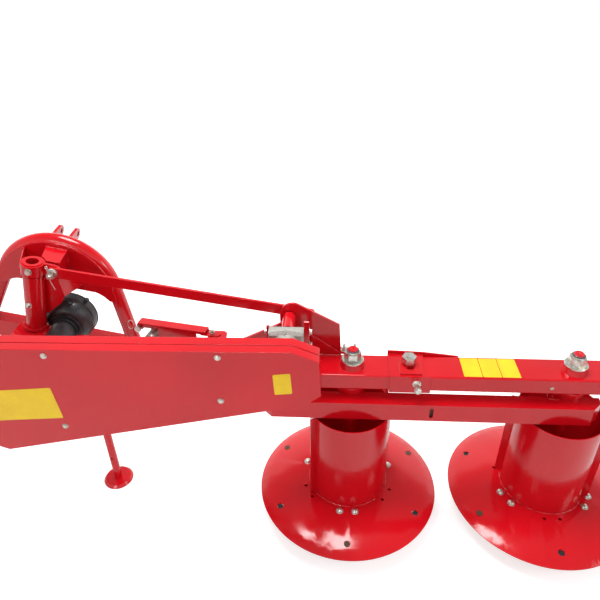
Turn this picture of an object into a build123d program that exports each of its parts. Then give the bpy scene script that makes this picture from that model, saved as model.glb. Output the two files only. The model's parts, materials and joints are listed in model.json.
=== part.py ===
from build123d import *
from math import asin, atan2, cos, degrees, hypot, radians, sin, sqrt, tan
import os

# Twin-drum rotary mower, mounted on a tractor's three-point hitch.
# Millimetres. X to the right seen from behind, Y forward in the direction of travel, Z up.
# The origin is on the floor, under the inner drum's axle.
# The machine stands parked: on its two skid bowls and on the parking leg.

# General fits and sheet gauges
SEAT = 0.3            # gap between two seated pieces
RUNNING = 0.05        # radial clearance of a shaft in its bore
PLATE = 10.0

# Cutting unit: the two drums and their axles
DRUM_PITCH = 800.0
DRUM_RADIUS = 158.0
DRUM_WALL = 4.0
DRUM_TOP = 537.0
DISC_TOP = 128.0
DISC_GAUGE = 6.0
DISC_FLAT_RADIUS = 205.0
DISC_SHOULDER_RADIUS = 330.0
DISC_SHOULDER_Z = 104.0
DISC_RADIUS = 368.5
DISC_RIM_Z = 86.0
AXLE_RADIUS = 18.0
SLEEVE_RADIUS = 30.0
SLEEVE_BOTTOM = 108.0
HUB_FLANGE_RADIUS = 86.0
HUB_FLANGE_GAUGE = 12.0
RIB_HEIGHT = 24.0
RIB_GAUGE = 6.0

# Fasteners through the disc: six pairs of bolt holes and six knife pin holes
HOLE_PAIRS = 6
PAIR_RADIUS = 184.0
PAIR_HALF_ANGLE = 9.4
BOLT_HOLE_RADIUS = 6.5
PIN_CIRCLE_RADIUS = 313.0
PIN_HOLE_RADIUS = 12.5

# Knives
KNIVES = 3
KNIFE_LENGTH = 105.0
KNIFE_WIDTH = 42.0
KNIFE_GAUGE = 4.0
KNIFE_PIN_RADIUS = 6.0
KNIFE_SWING = 128.0   # the knives lie swung back under the disc, degrees from radial
HOLDER_GAUGE = 5.0
HOLDER_WIDTH = 60.0
KNIFE_UNDER_RIM = 6.0
PIN_RISE = 0.136       # how far up the disc's slope the knife pins are

# Skid bowls under the discs
SKID_RADIUS = 285.0
SKID_FLAT_RADIUS = 120.0
SKID_RIM_Z = 50.0
SKID_GAUGE = 5.0
SKID_HUB_RADIUS = 48.0
SKID_HUB_TOP = 99.0
SKID_NUT_POCKET_RADIUS = 36.0
SKID_NUT_POCKET_TOP = 34.0
AXLE_BOTTOM = 12.0
AXLE_FOOT_RADIUS = 30.0
AXLE_FOOT_TOP = 30.0

# Beams over the drums
BEAM_LEFT = -300.0
BEAM_RIGHT = 930.0
BEAM_HALF_WIDTH = 62.5
BEAM_BOTTOM = 664.0
BEAM_TOP = 729.0
BEAM_WALL = 6.0
BEAM_CORNER = 7.0
BOSS_HEIGHT = 25.0
BOSS_FOOT_RADIUS = 46.0
BOSS_RADIUS = 38.0
HOUSING_RADIUS = 52.0
HOUSING_BOTTOM = 600.0
SLEEVE_TOP = 652.0
AXLE_TOP = 803.0
NUT_FLATS = 54.0
NUT_HEIGHT = 30.0
WASHER_RADIUS = 41.0
WASHER_GAUGE = 5.0
COLLAR_HEIGHT = 8.0
COLLAR_RADIUS = 24.0

CHANNEL_BACK = -98.0
CHANNEL_FRONT = -33.0
CHANNEL_BOTTOM = 551.0
CHANNEL_TOP = 627.0
CHANNEL_LEFT = -335.0
CHANNEL_RIGHT = 900.0
CHANNEL_GAUGE = 5.0
CHANNEL_CHAMFER = 38.0
CHANNEL_LIP = 26.0
SLOT_X = 290.0
SLOT_WIDTH = 14.0
SLOT_LENGTH = 46.0

# Clamp on the upper beam, which carries the crop cover's frame
CLAMP_LEFT = 133.0
CLAMP_RIGHT = 253.0
CLAMP_FRONT_RIGHT = 265.0
CLAMP_GAUGE = 6.0
CLAMP_LIP_BOTTOM = 660.0
CLAMP_LIP_RIGHT = 281.0
CLAMP_RAIL_RIGHT = 397.0
CLAMP_RAIL_HEIGHT = 20.0
CLAMP_PAD_LEFT = 168.0
CLAMP_PAD_RIGHT = 248.0
CLAMP_PAD_BACK = -60.0
CLAMP_PAD_FRONT = 28.0
CLAMP_PAD_HEIGHT = 8.0
CLAMP_HOLE = (207.0, -27.0)
CLAMP_HOLE_RADIUS = 13.0
CLAMP_STUD = (205.0, -2.0)
CLAMP_STUD_RADIUS = 11.0
CLAMP_SPACER_RADIUS = 14.0
CLAMP_SPACER_HEIGHT = 8.0
CLAMP_NUT_FLATS = 46.0
CLAMP_NUT_HEIGHT = 24.0

# Fore-and-aft hinge between cutting unit and boom, on the belt pulley's shaft
HINGE_X = -233.0
HINGE_Z = 897.0
HINGE_PLATE_RADIUS = 47.0
HINGE_PLATE_EYE_X = -221.0
HINGE_PLATE_EYE_Z = 905.0
HINGE_PLATE_RIGHT = -38.5
HINGE_PLATE_TAPER = 10.5
HINGE_PLATE_SHOULDER = 862.0
HINGE_PLATE_BOTTOM = 676.0
GUSSET_TOP = 822.0
GUSSET_END = 742.0
GUSSET_GAUGE = 8.0
HINGE_PIN_RADIUS = 14.0
HINGE_TUBE_RADIUS = 23.5
HINGE_TUBE_BACK = -32.0
HINGE_TUBE_FRONT = 57.0

# Bevel gearbox around the pulley's shaft
GEARBOX_HALF_WIDTH = 60.0
GEARBOX_BOTTOM = 837.0
GEARBOX_TOP = 948.0
GEARBOX_BACK = -110.0
GEARBOX_FRONT = -40.0
GEARBOX_RIDGE = 6.0
GEARBOX_BEVEL = 14.0
GEARBOX_CORNER = 9.0
GEARBOX_NECK_RADIUS = 40.0
GEARBOX_NECK_Y = -18.0
GEARBOX_FOOT_RADIUS = 44.0
GEARBOX_FOOT_GAUGE = 12.0
TRUNNION_RADIUS = 44.0
TRUNNION_BACK = -184.0
SIDE_PLATE_FRONT = -28.0
SIDE_PLATE_FOOT_BACK = -62.0
SIDE_PLATE_BACK = -78.0
SIDE_PLATE_SLOPE = 36.0

# Boom
BOOM_LEFT = -1292.0
BOOM_RIGHT = -418.0
BOOM_BACK = -58.0
BOOM_FRONT = 22.0
BOOM_BOTTOM = 712.0
BOOM_TOP = 798.0
BOOM_WALL = 5.0
ARM_GAUGE = 10.0
CROSS_PLATE = 12.0
REAR_ARM_Y = -172.0
FRONT_ARM_Y = 25.0
FRONT_ARM_ROOT = 748.0
ARM_RING_RADIUS = 60.0

# King post, which leans because the boom is tipped when it is parked
LEAN = 11.8
KINGPIN_X = -1155.0
KINGPIN_Y = 90.0
KINGPIN_Z = 1097.0
KINGPIN_LENGTH = 398.0
KINGPIN_RADIUS = 29.5
KINGPIN_BORE = 22.0
KINGPIN_HEAD_RADIUS = 35.0
KINGPIN_HEAD_HEIGHT = 14.0
FOOT_PLATE_HALF = 66.0
SLEEVE_TUBE_RADIUS = 36.5
SLEEVE_TUBE_TOP = -54.0
SLEEVE_TUBE_LENGTH = 224.0
SHOULDER_RADIUS = 44.0
SHOULDER_GAUGE = 10.0
COLLAR_TUBE_RADIUS = 42.0
COLLAR_TUBE_TOP = -4.0
COLLAR_TUBE_BOTTOM = -48.0
EAR_GAUGE = 10.0
EAR_RADIUS = 25.0
EAR_PIN_U = 76.0
EAR_PIN_W = -27.0

# Tension bar from the king post's collar to the hinge
BAR_GAUGE = 10.0
BAR_HEIGHT = 40.0
BAR_RISE = 12.0
BAR_EYE_RADIUS = 26.0
BAR_Y = 83.0
BAR_END = 92.0

# Belt guard behind the boom
GUARD_BACK = -222.0
GUARD_SEAM = -259.0
GUARD_LEFT = -1340.0
GUARD_FRONT = -297.0
GUARD_SHEET = 3.0
GUARD_SEAM_GAP = 0.5

# Power take-off shaft
INPUT_X = -1120.0
INPUT_Z = 783.0
INPUT_HOUSING_RADIUS = 46.0
INPUT_HOUSING_FRONT = 112.0
INPUT_SHAFT_RADIUS = 17.46
INPUT_SHAFT_FRONT = 222.0
CUP_BACK = 118.0
CUP_FRONT = 270.0
CUP_RADIUS = 80.0
CUP_WALL = 3.5
CUP_NECK_RADIUS = 66.0
CUP_BODY_RADIUS = 75.0

# Parking leg
LEG_X = -1032.0
LEG_Y = 49.0
LEG_RADIUS = 16.5
LEG_WALL = 3.0
LEG_TOP = 780.0
FOOT_RADIUS = 64.0
FOOT_GAUGE = 5.0
FOOT_DISH = 9.0
SOCKET_HALF = 24.0
SOCKET_BOTTOM = 690.0
SOCKET_TOP = 785.0

# Hitch, in the king post's frame: u across, y forward, w up along the king post
ARCH_U = 34.0
ARCH_W = -210.0
ARCH_Y = 243.0
ARCH_RADIUS = 220.0
ARCH_TUBE_RADIUS = 29.0
ARCH_TUBE_WALL = 4.0
ARCH_SPLAY = 19.5
MAST_HEIGHT = 460.0
LOWER_PIN_RADIUS = 11.0
LOWER_PIN_HALF_SPAN = 341.5
LOWER_PIN_LENGTH = 90.0
TOP_PIN_W = 7.0
TOP_PIN_Y = 330.0
TOP_PIN_HOLE_RADIUS = 9.75
EAR_HALF_GAP = 26.0
TOP_EAR_GAUGE = 12.0
TOP_EAR_NOSE = 22.0
WEB_GAUGE = 8.0
WEB_LAP = 7.0
WEB_BOTTOM = -168.0
WEB_FOOT = -199.0
WEB_HALF_SPAN = 184.0
BRACKET_TOP = 0.0
BRACKET_FLOOR = -62.0
BRACKET_WALL = 8.0
BRACKET_CLEARANCE = 2.0
BRACKET_RIGHT = 88.0
BRACKET_SKEW = 8.0
BRACKET_LEFT = 86.0
BRACKET_LEFT_TOP = -20.0
BRACKET_LEFT_GAUGE = 5.0
BRACKET_BACK = 20.0
SLEEVE_GUSSET_DROP = 166.0
SLEEVE_GUSSET_GAUGE = 10.0
APRON_BOTTOM = -143.0
APRON_NEAR_U = 104.0
APRON_FAR_U = 136.0
APRON_CORNER = 0.35
APRON_KNEE = (90.0, -176.0)
CROSS_BAR_TOP = -400.0
CROSS_BAR_HALF = 30.0
CROSS_BAR_HEIGHT = 80.0
CROSS_BAR_WALL = 5.0

# Breakaway latch between boom and hitch
LATCH_START = (-874.0, 154.0, 809.0)
LATCH_END = (-552.0, 90.0, 809.0)
LATCH_WIDTH = 38.0
LATCH_LIP = 12.0
LATCH_GAUGE = 4.0
LATCH_CHANNEL_START = 46.0
LATCH_NOSE_LENGTH = 54.0
LATCH_ROD_RADIUS = 9.0
LATCH_ROD_DROP = -21.5
LATCH_EYE_X = 50.0
LATCH_EYE_RADIUS = 15.0
LATCH_PIN_RADIUS = 8.0
LATCH_GUIDE_START = 130.0
LATCH_GUIDE_END = 195.0
LATCH_GUIDE_DEPTH = 60.0
LATCH_WEB_END = 290.0
SPRING_X = 97.0
SPRING_DROP = -71.0
SPRING_RADIUS = 28.0
SPRING_WIRE = 2.5
SPRING_TURNS = 7
SPRING_PITCH = 7.0

os.makedirs("parts", exist_ok=True)


def write(shape, node):
    """Write one node's STEP file."""
    export_step(shape, f"parts/{node}.step")


def rod(radius, start, end):
    """A round bar between two points."""
    a = Vector(*start)
    b = Vector(*end)
    axis = b - a
    plane = Plane(origin=a, z_dir=axis.normalized())
    return extrude(plane * Circle(radius), axis.length)


def upright(radius, x, y, bottom, top):
    """A vertical round bar."""
    return Pos(x, y, (bottom + top) / 2) * Cylinder(radius, top - bottom)


def along_y(radius, x, z, back, front):
    """A fore-and-aft round bar."""
    return Pos(x, (back + front) / 2, z) * Rot(90, 0, 0) * Cylinder(radius, front - back)


def block(low, high):
    """A rectangular solid between two corners."""
    size = [b - a for a, b in zip(low, high)]
    middle = [(a + b) / 2 for a, b in zip(low, high)]
    return Pos(*middle) * Box(*size)


def plate_xz(points, back, front):
    """A flat plate across the direction of travel, from its outline in X and Z."""
    face = make_face(Polyline([(x, -z) for x, z in points], close=True).edges())
    return Pos(0, back, 0) * Rot(-90, 0, 0) * extrude(face, front - back)


def turned(points):
    """A solid of revolution about Z, from its outline of radius and height."""
    outline = Polyline([(r, 0, z) for r, z in points], close=True)
    return revolve(make_face(outline.edges()), Axis.Z)


def polar(radius, angle):
    """A point on a circle about the axle."""
    return radius * cos(radians(angle)), radius * sin(radians(angle))


def tangent(point, centre, radius, side):
    """Where a line from a point touches a circle; side picks one of the two."""
    reach = hypot(centre[0] - point[0], centre[1] - point[1])
    angle = atan2(centre[1] - point[1], centre[0] - point[0]) + side * asin(radius / reach)
    length = sqrt(reach ** 2 - radius ** 2)
    return point[0] + length * cos(angle), point[1] + length * sin(angle)


def on_king_post(shape):
    """Place what is modelled in the king post's frame."""
    return Pos(KINGPIN_X, KINGPIN_Y, KINGPIN_Z) * Rot(0, LEAN, 0) * shape


# Cutting unit
def upper_beam():
    """Box beam with end caps and a boss at each axle."""
    length = BEAM_RIGHT - BEAM_LEFT
    height = BEAM_TOP - BEAM_BOTTOM
    width = 2 * BEAM_HALF_WIDTH
    outline = RectangleRounded(width, height, BEAM_CORNER)
    hollow = RectangleRounded(width - 2 * BEAM_WALL, height - 2 * BEAM_WALL, BEAM_CORNER - BEAM_WALL / 2)
    section = Plane(origin=(BEAM_LEFT, 0, (BEAM_BOTTOM + BEAM_TOP) / 2), x_dir=(0, 1, 0), z_dir=(1, 0, 0))
    beam = extrude(section * outline, length)
    beam -= Pos(BEAM_WALL, 0, 0) * extrude(section * hollow, length - 2 * BEAM_WALL)
    for x in (0, DRUM_PITCH):
        beam += Pos(x, 0, BEAM_TOP + BOSS_HEIGHT / 2) * Cone(BOSS_FOOT_RADIUS, BOSS_RADIUS, BOSS_HEIGHT)
        beam -= upright(AXLE_RADIUS + SEAT, x, 0, BEAM_BOTTOM - 1, BEAM_TOP + BOSS_HEIGHT + 1)
    return beam


def lower_beam():
    """Folded channel behind the axles, its ends turned in, notched round the bearing housings."""
    outer = [
        (CHANNEL_LEFT, CHANNEL_FRONT),
        (CHANNEL_LEFT, CHANNEL_BACK + CHANNEL_CHAMFER),
        (CHANNEL_LEFT + CHANNEL_CHAMFER, CHANNEL_BACK),
        (CHANNEL_RIGHT - CHANNEL_CHAMFER, CHANNEL_BACK),
        (CHANNEL_RIGHT, CHANNEL_BACK + CHANNEL_CHAMFER),
        (CHANNEL_RIGHT, CHANNEL_FRONT),
    ]
    shift = CHANNEL_GAUGE * tan(radians(22.5))
    inner = [
        (CHANNEL_LEFT + CHANNEL_GAUGE, CHANNEL_FRONT + 1),
        (CHANNEL_LEFT + CHANNEL_GAUGE, CHANNEL_BACK + CHANNEL_CHAMFER + shift),
        (CHANNEL_LEFT + CHANNEL_CHAMFER + shift, CHANNEL_BACK + CHANNEL_GAUGE),
        (CHANNEL_RIGHT - CHANNEL_CHAMFER - shift, CHANNEL_BACK + CHANNEL_GAUGE),
        (CHANNEL_RIGHT - CHANNEL_GAUGE, CHANNEL_BACK + CHANNEL_CHAMFER + shift),
        (CHANNEL_RIGHT - CHANNEL_GAUGE, CHANNEL_FRONT + 1),
    ]
    height = CHANNEL_TOP - CHANNEL_BOTTOM
    body = Pos(0, 0, CHANNEL_BOTTOM) * extrude(make_face(Polyline(outer, close=True).edges()), height)
    room = extrude(make_face(Polyline(inner, close=True).edges()), height - 2 * CHANNEL_GAUGE)
    body -= Pos(0, 0, CHANNEL_BOTTOM + CHANNEL_GAUGE) * room
    body -= block(
        (CHANNEL_LEFT + CHANNEL_CHAMFER, CHANNEL_BACK + CHANNEL_LIP, CHANNEL_BOTTOM - 1),
        (CHANNEL_RIGHT - CHANNEL_CHAMFER, CHANNEL_FRONT + 1, CHANNEL_BOTTOM + CHANNEL_GAUGE + 1),
    )
    for x in (0, DRUM_PITCH):
        body -= upright(HOUSING_RADIUS + SEAT, x, 0, CHANNEL_BOTTOM - 1, CHANNEL_TOP + 1)
    middle = (CHANNEL_BOTTOM + CHANNEL_TOP) / 2
    slot = SlotOverall(SLOT_LENGTH, SLOT_WIDTH, rotation=90)
    body -= Pos(SLOT_X, CHANNEL_BACK - 1, middle) * Rot(-90, 0, 0) * extrude(slot, CHANNEL_GAUGE + 2)
    return body


def bearing_housings():
    """Bearing housings under the upper beam, one round each drum's drive sleeve."""
    ring = turned([
        (SLEEVE_RADIUS + RUNNING, HOUSING_BOTTOM),
        (HOUSING_RADIUS, HOUSING_BOTTOM),
        (HOUSING_RADIUS, BEAM_BOTTOM - 14),
        (HOUSING_RADIUS + 9, BEAM_BOTTOM - 10),
        (HOUSING_RADIUS + 9, BEAM_BOTTOM),
        (AXLE_RADIUS + RUNNING, BEAM_BOTTOM),
        (AXLE_RADIUS + RUNNING, SLEEVE_TOP + 6),
        (SLEEVE_RADIUS + RUNNING, SLEEVE_TOP + 6),
    ])
    return Compound(children=[ring, Pos(DRUM_PITCH, 0, 0) * ring])


def axles():
    """Fixed axles, threaded at the top, with a foot that carries the skid bowl."""
    axle = upright(AXLE_RADIUS, 0, 0, AXLE_BOTTOM, AXLE_TOP)
    axle += upright(AXLE_FOOT_RADIUS, 0, 0, AXLE_BOTTOM, AXLE_FOOT_TOP)
    axle = chamfer(axle.edges().filter_by(GeomType.CIRCLE).sort_by(Axis.Z)[-1], 2)
    axle -= Pos(0, 0, AXLE_TOP) * Cone(0.5, 4, 6)
    return Compound(children=[axle, Pos(DRUM_PITCH, 0, 0) * axle])


def axle_nuts():
    """Flanged lock nuts on the axles, each on its washer."""
    seat = BEAM_TOP + BOSS_HEIGHT
    washer = upright(WASHER_RADIUS, 0, 0, seat, seat + WASHER_GAUGE)
    washer = chamfer(washer.edges().filter_by(GeomType.CIRCLE).sort_by(Axis.Z)[-1], 1.5)
    low = seat + WASHER_GAUGE
    hexagon = extrude(Pos(0, 0, low) * RegularPolygon(NUT_FLATS / 2, 6, major_radius=False), NUT_HEIGHT)
    reach = NUT_FLATS * 0.62
    cut = Pos(0, 0, low + NUT_HEIGHT / 2) * Cone(reach + NUT_HEIGHT, reach - 3, NUT_HEIGHT)
    nut = washer + (hexagon & cut)
    nut += upright(COLLAR_RADIUS, 0, 0, low + NUT_HEIGHT, low + NUT_HEIGHT + COLLAR_HEIGHT)
    nut -= upright(AXLE_RADIUS + RUNNING, 0, 0, seat - 1, low + NUT_HEIGHT + COLLAR_HEIGHT + 1)
    return Compound(children=[nut, Pos(DRUM_PITCH, 0, 0) * Rot(0, 0, 22) * nut])


def cover_clamp():
    """Saddle clamp on the upper beam: top plate, rear lip, front rail and the pad of its stud."""
    half = BEAM_HALF_WIDTH
    low = BEAM_TOP + SEAT
    back = -half - SEAT - CLAMP_GAUGE
    outline = Polyline(
        (CLAMP_LEFT, back),
        (CLAMP_RIGHT, back),
        (CLAMP_FRONT_RIGHT, half + SEAT),
        (CLAMP_LEFT, half + SEAT),
        close=True,
    )
    saddle = Pos(0, 0, low) * extrude(make_face(outline.edges()), CLAMP_GAUGE)
    saddle += block((CLAMP_LEFT, back, CLAMP_LIP_BOTTOM), (CLAMP_LIP_RIGHT, -half - SEAT, low + CLAMP_GAUGE))
    rail = [
        (CLAMP_LEFT, CLAMP_LIP_BOTTOM),
        (CLAMP_FRONT_RIGHT, CLAMP_LIP_BOTTOM),
        (CLAMP_RAIL_RIGHT, BEAM_TOP - CLAMP_RAIL_HEIGHT),
        (CLAMP_RAIL_RIGHT, BEAM_TOP),
        (CLAMP_FRONT_RIGHT, BEAM_TOP + CLAMP_RAIL_HEIGHT * 0.75),
        (CLAMP_LEFT, BEAM_TOP + CLAMP_RAIL_HEIGHT),
    ]
    saddle += plate_xz(rail, half + SEAT, half + SEAT + CLAMP_GAUGE)
    saddle += block(
        (CLAMP_PAD_LEFT, CLAMP_PAD_BACK, low + CLAMP_GAUGE),
        (CLAMP_PAD_RIGHT, CLAMP_PAD_FRONT, low + CLAMP_GAUGE + CLAMP_PAD_HEIGHT),
    )
    x, y = CLAMP_HOLE
    top = low + CLAMP_GAUGE
    return saddle - upright(CLAMP_HOLE_RADIUS, x, y, top, top + CLAMP_PAD_HEIGHT + 1)


def clamp_nut():
    """Stud of the saddle clamp with its spacer and hexagon nut."""
    x, y = CLAMP_STUD
    foot = BEAM_TOP + 2 * SEAT + CLAMP_GAUGE + CLAMP_PAD_HEIGHT
    low = foot + CLAMP_SPACER_HEIGHT
    stud = upright(CLAMP_SPACER_RADIUS, x, y, foot, low)
    stud += upright(CLAMP_STUD_RADIUS, x, y, foot, low + CLAMP_NUT_HEIGHT + 4)
    face = RegularPolygon(CLAMP_NUT_FLATS / 2, 6, major_radius=False)
    hexagon = extrude(Pos(x, y, low) * face, CLAMP_NUT_HEIGHT)
    reach = CLAMP_NUT_FLATS * 0.62
    cone = Pos(x, y, low + CLAMP_NUT_HEIGHT / 2) * Cone(reach + CLAMP_NUT_HEIGHT, reach - 3, CLAMP_NUT_HEIGHT)
    return stud + (hexagon & cone)


def hinge_plate():
    """Front hinge plate, welded to the beam's front face and rounded over the hinge pin."""
    back = BEAM_HALF_WIDTH + SEAT
    eye = (HINGE_PLATE_EYE_X, HINGE_PLATE_EYE_Z)
    corner = (HINGE_PLATE_RIGHT - HINGE_PLATE_TAPER, HINGE_PLATE_SHOULDER)
    outline = [
        (HINGE_PLATE_EYE_X - HINGE_PLATE_RADIUS, HINGE_PLATE_EYE_Z),
        (HINGE_PLATE_EYE_X - HINGE_PLATE_RADIUS, HINGE_PLATE_BOTTOM),
        (HINGE_PLATE_RIGHT, HINGE_PLATE_BOTTOM),
        corner,
        tangent(corner, eye, HINGE_PLATE_RADIUS, -1),
        eye,
    ]
    plate = plate_xz(outline, back, back + PLATE)
    plate += along_y(HINGE_PLATE_RADIUS, HINGE_PLATE_EYE_X, HINGE_PLATE_EYE_Z, back, back + PLATE)
    plate -= along_y(HINGE_PIN_RADIUS + RUNNING, HINGE_X, HINGE_Z, back - 1, back + PLATE + 1)
    return plate


SIDE_PLATES = (
    # side, gauge, height of the top edge
    (-1, 8.0, 952.0),
    (1, 18.0, 970.0),
)


def gearbox_plates():
    """Two upright plates that grip the gearbox from its sides and stand on the beam."""
    plates = []
    for side, gauge, top in SIDE_PLATES:
        near = HINGE_X + side * (GEARBOX_HALF_WIDTH + SEAT)
        low_x = min(near, near + side * gauge)
        face = [
            (SIDE_PLATE_FOOT_BACK, BEAM_TOP + SEAT),
            (SIDE_PLATE_FRONT, BEAM_TOP + SEAT),
            (SIDE_PLATE_FRONT, top - SIDE_PLATE_SLOPE),
            (SIDE_PLATE_BACK + 6, top),
            (SIDE_PLATE_BACK, top - 2),
            (SIDE_PLATE_BACK, GEARBOX_BOTTOM),
        ]
        outline = Polyline([(low_x, y, z) for y, z in face], close=True)
        plates.append(extrude(make_face(outline.edges()), gauge, dir=(1, 0, 0)))
    return Compound(children=plates)


def beam_gusset():
    """Triangular rib on the beam that stays the hinge plate and the right-hand gearbox plate."""
    front = BEAM_HALF_WIDTH
    left = HINGE_X + GEARBOX_HALF_WIDTH + SIDE_PLATES[1][1] + 2 * SEAT
    right = HINGE_PLATE_RIGHT - HINGE_PLATE_TAPER + 2
    outline = [
        (left, BEAM_TOP + SEAT),
        (right, BEAM_TOP + SEAT),
        (right, GUSSET_END),
        (left, GUSSET_TOP),
    ]
    return plate_xz(outline, front - GUSSET_GAUGE, front)


def gearbox():
    """Cast bevel gearbox: gabled block, trunnion at the back, neck down to the beam."""
    side = [
        (GEARBOX_BACK, GEARBOX_BOTTOM),
        (GEARBOX_FRONT, GEARBOX_BOTTOM),
        (GEARBOX_FRONT, GEARBOX_TOP - 2 * GEARBOX_BEVEL),
        (GEARBOX_FRONT - 2 * GEARBOX_BEVEL, GEARBOX_TOP - GEARBOX_RIDGE),
        (GEARBOX_BACK + GEARBOX_BEVEL, GEARBOX_TOP),
        (GEARBOX_BACK, GEARBOX_TOP - GEARBOX_BEVEL),
    ]
    left = HINGE_X - GEARBOX_HALF_WIDTH
    width = 2 * GEARBOX_HALF_WIDTH
    outline = Polyline([(left, y, z) for y, z in side], close=True)
    body = extrude(make_face(outline.edges()), width, dir=(1, 0, 0))
    gable = [
        (left, GEARBOX_BOTTOM),
        (left + width, GEARBOX_BOTTOM),
        (left + width, GEARBOX_TOP - GEARBOX_RIDGE),
        (HINGE_X, GEARBOX_TOP),
        (left, GEARBOX_TOP - GEARBOX_RIDGE),
    ]
    body = body & plate_xz(gable, GEARBOX_BACK - 1, GEARBOX_FRONT + 1)
    body = fillet(body.edges().filter_by(Axis.Z).sort_by(Axis.Y)[:2], GEARBOX_CORNER)
    body += along_y(TRUNNION_RADIUS, HINGE_X, HINGE_Z, TRUNNION_BACK, GEARBOX_BACK + 1)
    low = BEAM_TOP + SEAT
    body += upright(GEARBOX_NECK_RADIUS, HINGE_X, GEARBOX_NECK_Y, low, GEARBOX_BOTTOM + 6)
    body += upright(GEARBOX_FOOT_RADIUS, HINGE_X, GEARBOX_NECK_Y, low, low + GEARBOX_FOOT_GAUGE)
    return body


# Drums, discs, knives and skids
def disc(first_bolts):
    """Dished cutting disc with its bolt holes and knife pin holes."""
    inner = SLEEVE_RADIUS + SEAT
    under = DISC_GAUGE
    body = turned([
        (inner, DISC_TOP),
        (DISC_FLAT_RADIUS, DISC_TOP),
        (DISC_SHOULDER_RADIUS, DISC_SHOULDER_Z),
        (DISC_RADIUS, DISC_RIM_Z),
        (DISC_RADIUS - 1.5, DISC_RIM_Z - under),
        (DISC_SHOULDER_RADIUS - 2, DISC_SHOULDER_Z - under),
        (DISC_FLAT_RADIUS - 1, DISC_TOP - under),
        (inner, DISC_TOP - under),
    ])
    for pair in range(HOLE_PAIRS):
        middle = first_bolts + 360 / HOLE_PAIRS * pair
        x, y = polar(PIN_CIRCLE_RADIUS, middle)
        body -= upright(PIN_HOLE_RADIUS, x, y, DISC_RIM_Z - 30, DISC_TOP + 5)
        for side in (-1, 1):
            x, y = polar(PAIR_RADIUS, middle + side * PAIR_HALF_ANGLE)
            body -= upright(BOLT_HOLE_RADIUS, x, y, DISC_RIM_Z - 30, DISC_TOP + 5)
    return body


def drum(rib_angle):
    """Drum shell with two upright crop ribs."""
    low = DISC_TOP + SEAT
    height = DRUM_TOP - low
    shell = upright(DRUM_RADIUS, 0, 0, low, DRUM_TOP)
    rib = block(
        (DRUM_RADIUS - DRUM_WALL, -RIB_GAUGE / 2, low),
        (DRUM_RADIUS + RIB_HEIGHT, RIB_GAUGE / 2, low + height),
    )
    for turn in (0, 180):
        shell += Rot(0, 0, rib_angle + turn) * rib
    return shell - upright(DRUM_RADIUS - DRUM_WALL, 0, 0, low - 1, DRUM_TOP + 1)


def drive_sleeve():
    """Hollow drive sleeve with the flange that carries disc and drum."""
    inner = AXLE_RADIUS + RUNNING
    low = DISC_TOP + SEAT
    return turned([
        (inner, SLEEVE_BOTTOM),
        (SLEEVE_RADIUS, SLEEVE_BOTTOM),
        (SLEEVE_RADIUS, low),
        (HUB_FLANGE_RADIUS, low),
        (HUB_FLANGE_RADIUS, low + HUB_FLANGE_GAUGE),
        (SLEEVE_RADIUS + 14, low + HUB_FLANGE_GAUGE),
        (SLEEVE_RADIUS, low + HUB_FLANGE_GAUGE + 42),
        (SLEEVE_RADIUS, SLEEVE_TOP),
        (inner, SLEEVE_TOP),
    ])


def knife_place(angle):
    """The place of one knife pin, under the disc."""
    x, y = polar(PIN_CIRCLE_RADIUS, angle)
    return Pos(x, y, 0) * Rot(0, 0, angle)


def knife_level():
    """Height of the knives' underside, below the disc's rim."""
    return DISC_RIM_Z - DISC_GAUGE - KNIFE_UNDER_RIM - KNIFE_GAUGE


def knife_holders(first_bolts):
    """Spring plates under the disc, each with its knife pin and the pin's head in the disc."""
    top = DISC_TOP - DISC_GAUGE - SEAT
    rest = knife_level() - SEAT
    bend = PAIR_RADIUS + 16
    reach = PIN_CIRCLE_RADIUS + 18
    slope = reach - 74
    side = [
        (PAIR_RADIUS - 24, top),
        (PAIR_RADIUS - 24, top - HOLDER_GAUGE),
        (bend - 2, top - HOLDER_GAUGE),
        (slope - 2, rest - HOLDER_GAUGE),
        (reach, rest - HOLDER_GAUGE),
        (reach, rest),
        (slope + 1, rest),
        (bend + 1, top),
    ]
    outline = Polyline([(r, 0, z) for r, z in side], close=True)
    plate = extrude(make_face(outline.edges()), HOLDER_WIDTH / 2, both=True)
    plate = fillet(plate.edges().filter_by(Axis.Z).sort_by(Axis.X)[-2:], HOLDER_WIDTH * 0.28)
    head = DISC_SHOULDER_Z + (DISC_TOP - DISC_SHOULDER_Z) * PIN_RISE
    plate += upright(KNIFE_PIN_RADIUS, PIN_CIRCLE_RADIUS, 0, rest - HOLDER_GAUGE - 6, head)
    plate += upright(PIN_HOLE_RADIUS - SEAT, PIN_CIRCLE_RADIUS, 0, head - 9, head + 2)
    angles = [first_bolts + 360 / KNIVES * index for index in range(KNIVES)]
    return Compound(children=[Rot(0, 0, angle) * plate for angle in angles])


def knives(first_bolts):
    """Three free-swinging knives, each on its pin."""
    low = knife_level()
    blades = []
    for index in range(KNIVES):
        angle = first_bolts + 360 / KNIVES * index
        blade = block((-18, -KNIFE_WIDTH / 2, low), (KNIFE_LENGTH - 18, KNIFE_WIDTH / 2, low + KNIFE_GAUGE))
        blade = fillet(blade.edges().filter_by(Axis.Z).sort_by(Axis.X)[:2], KNIFE_WIDTH * 0.4)
        blade = chamfer(blade.edges().filter_by(Axis.X).sort_by(Axis.Z)[-2:], KNIFE_GAUGE * 0.7)
        blade -= upright(KNIFE_PIN_RADIUS + 2, 0, 0, low - 1, low + KNIFE_GAUGE + 1)
        blades.append(knife_place(angle) * Rot(0, 0, KNIFE_SWING) * blade)
    return Compound(children=blades)


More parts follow.
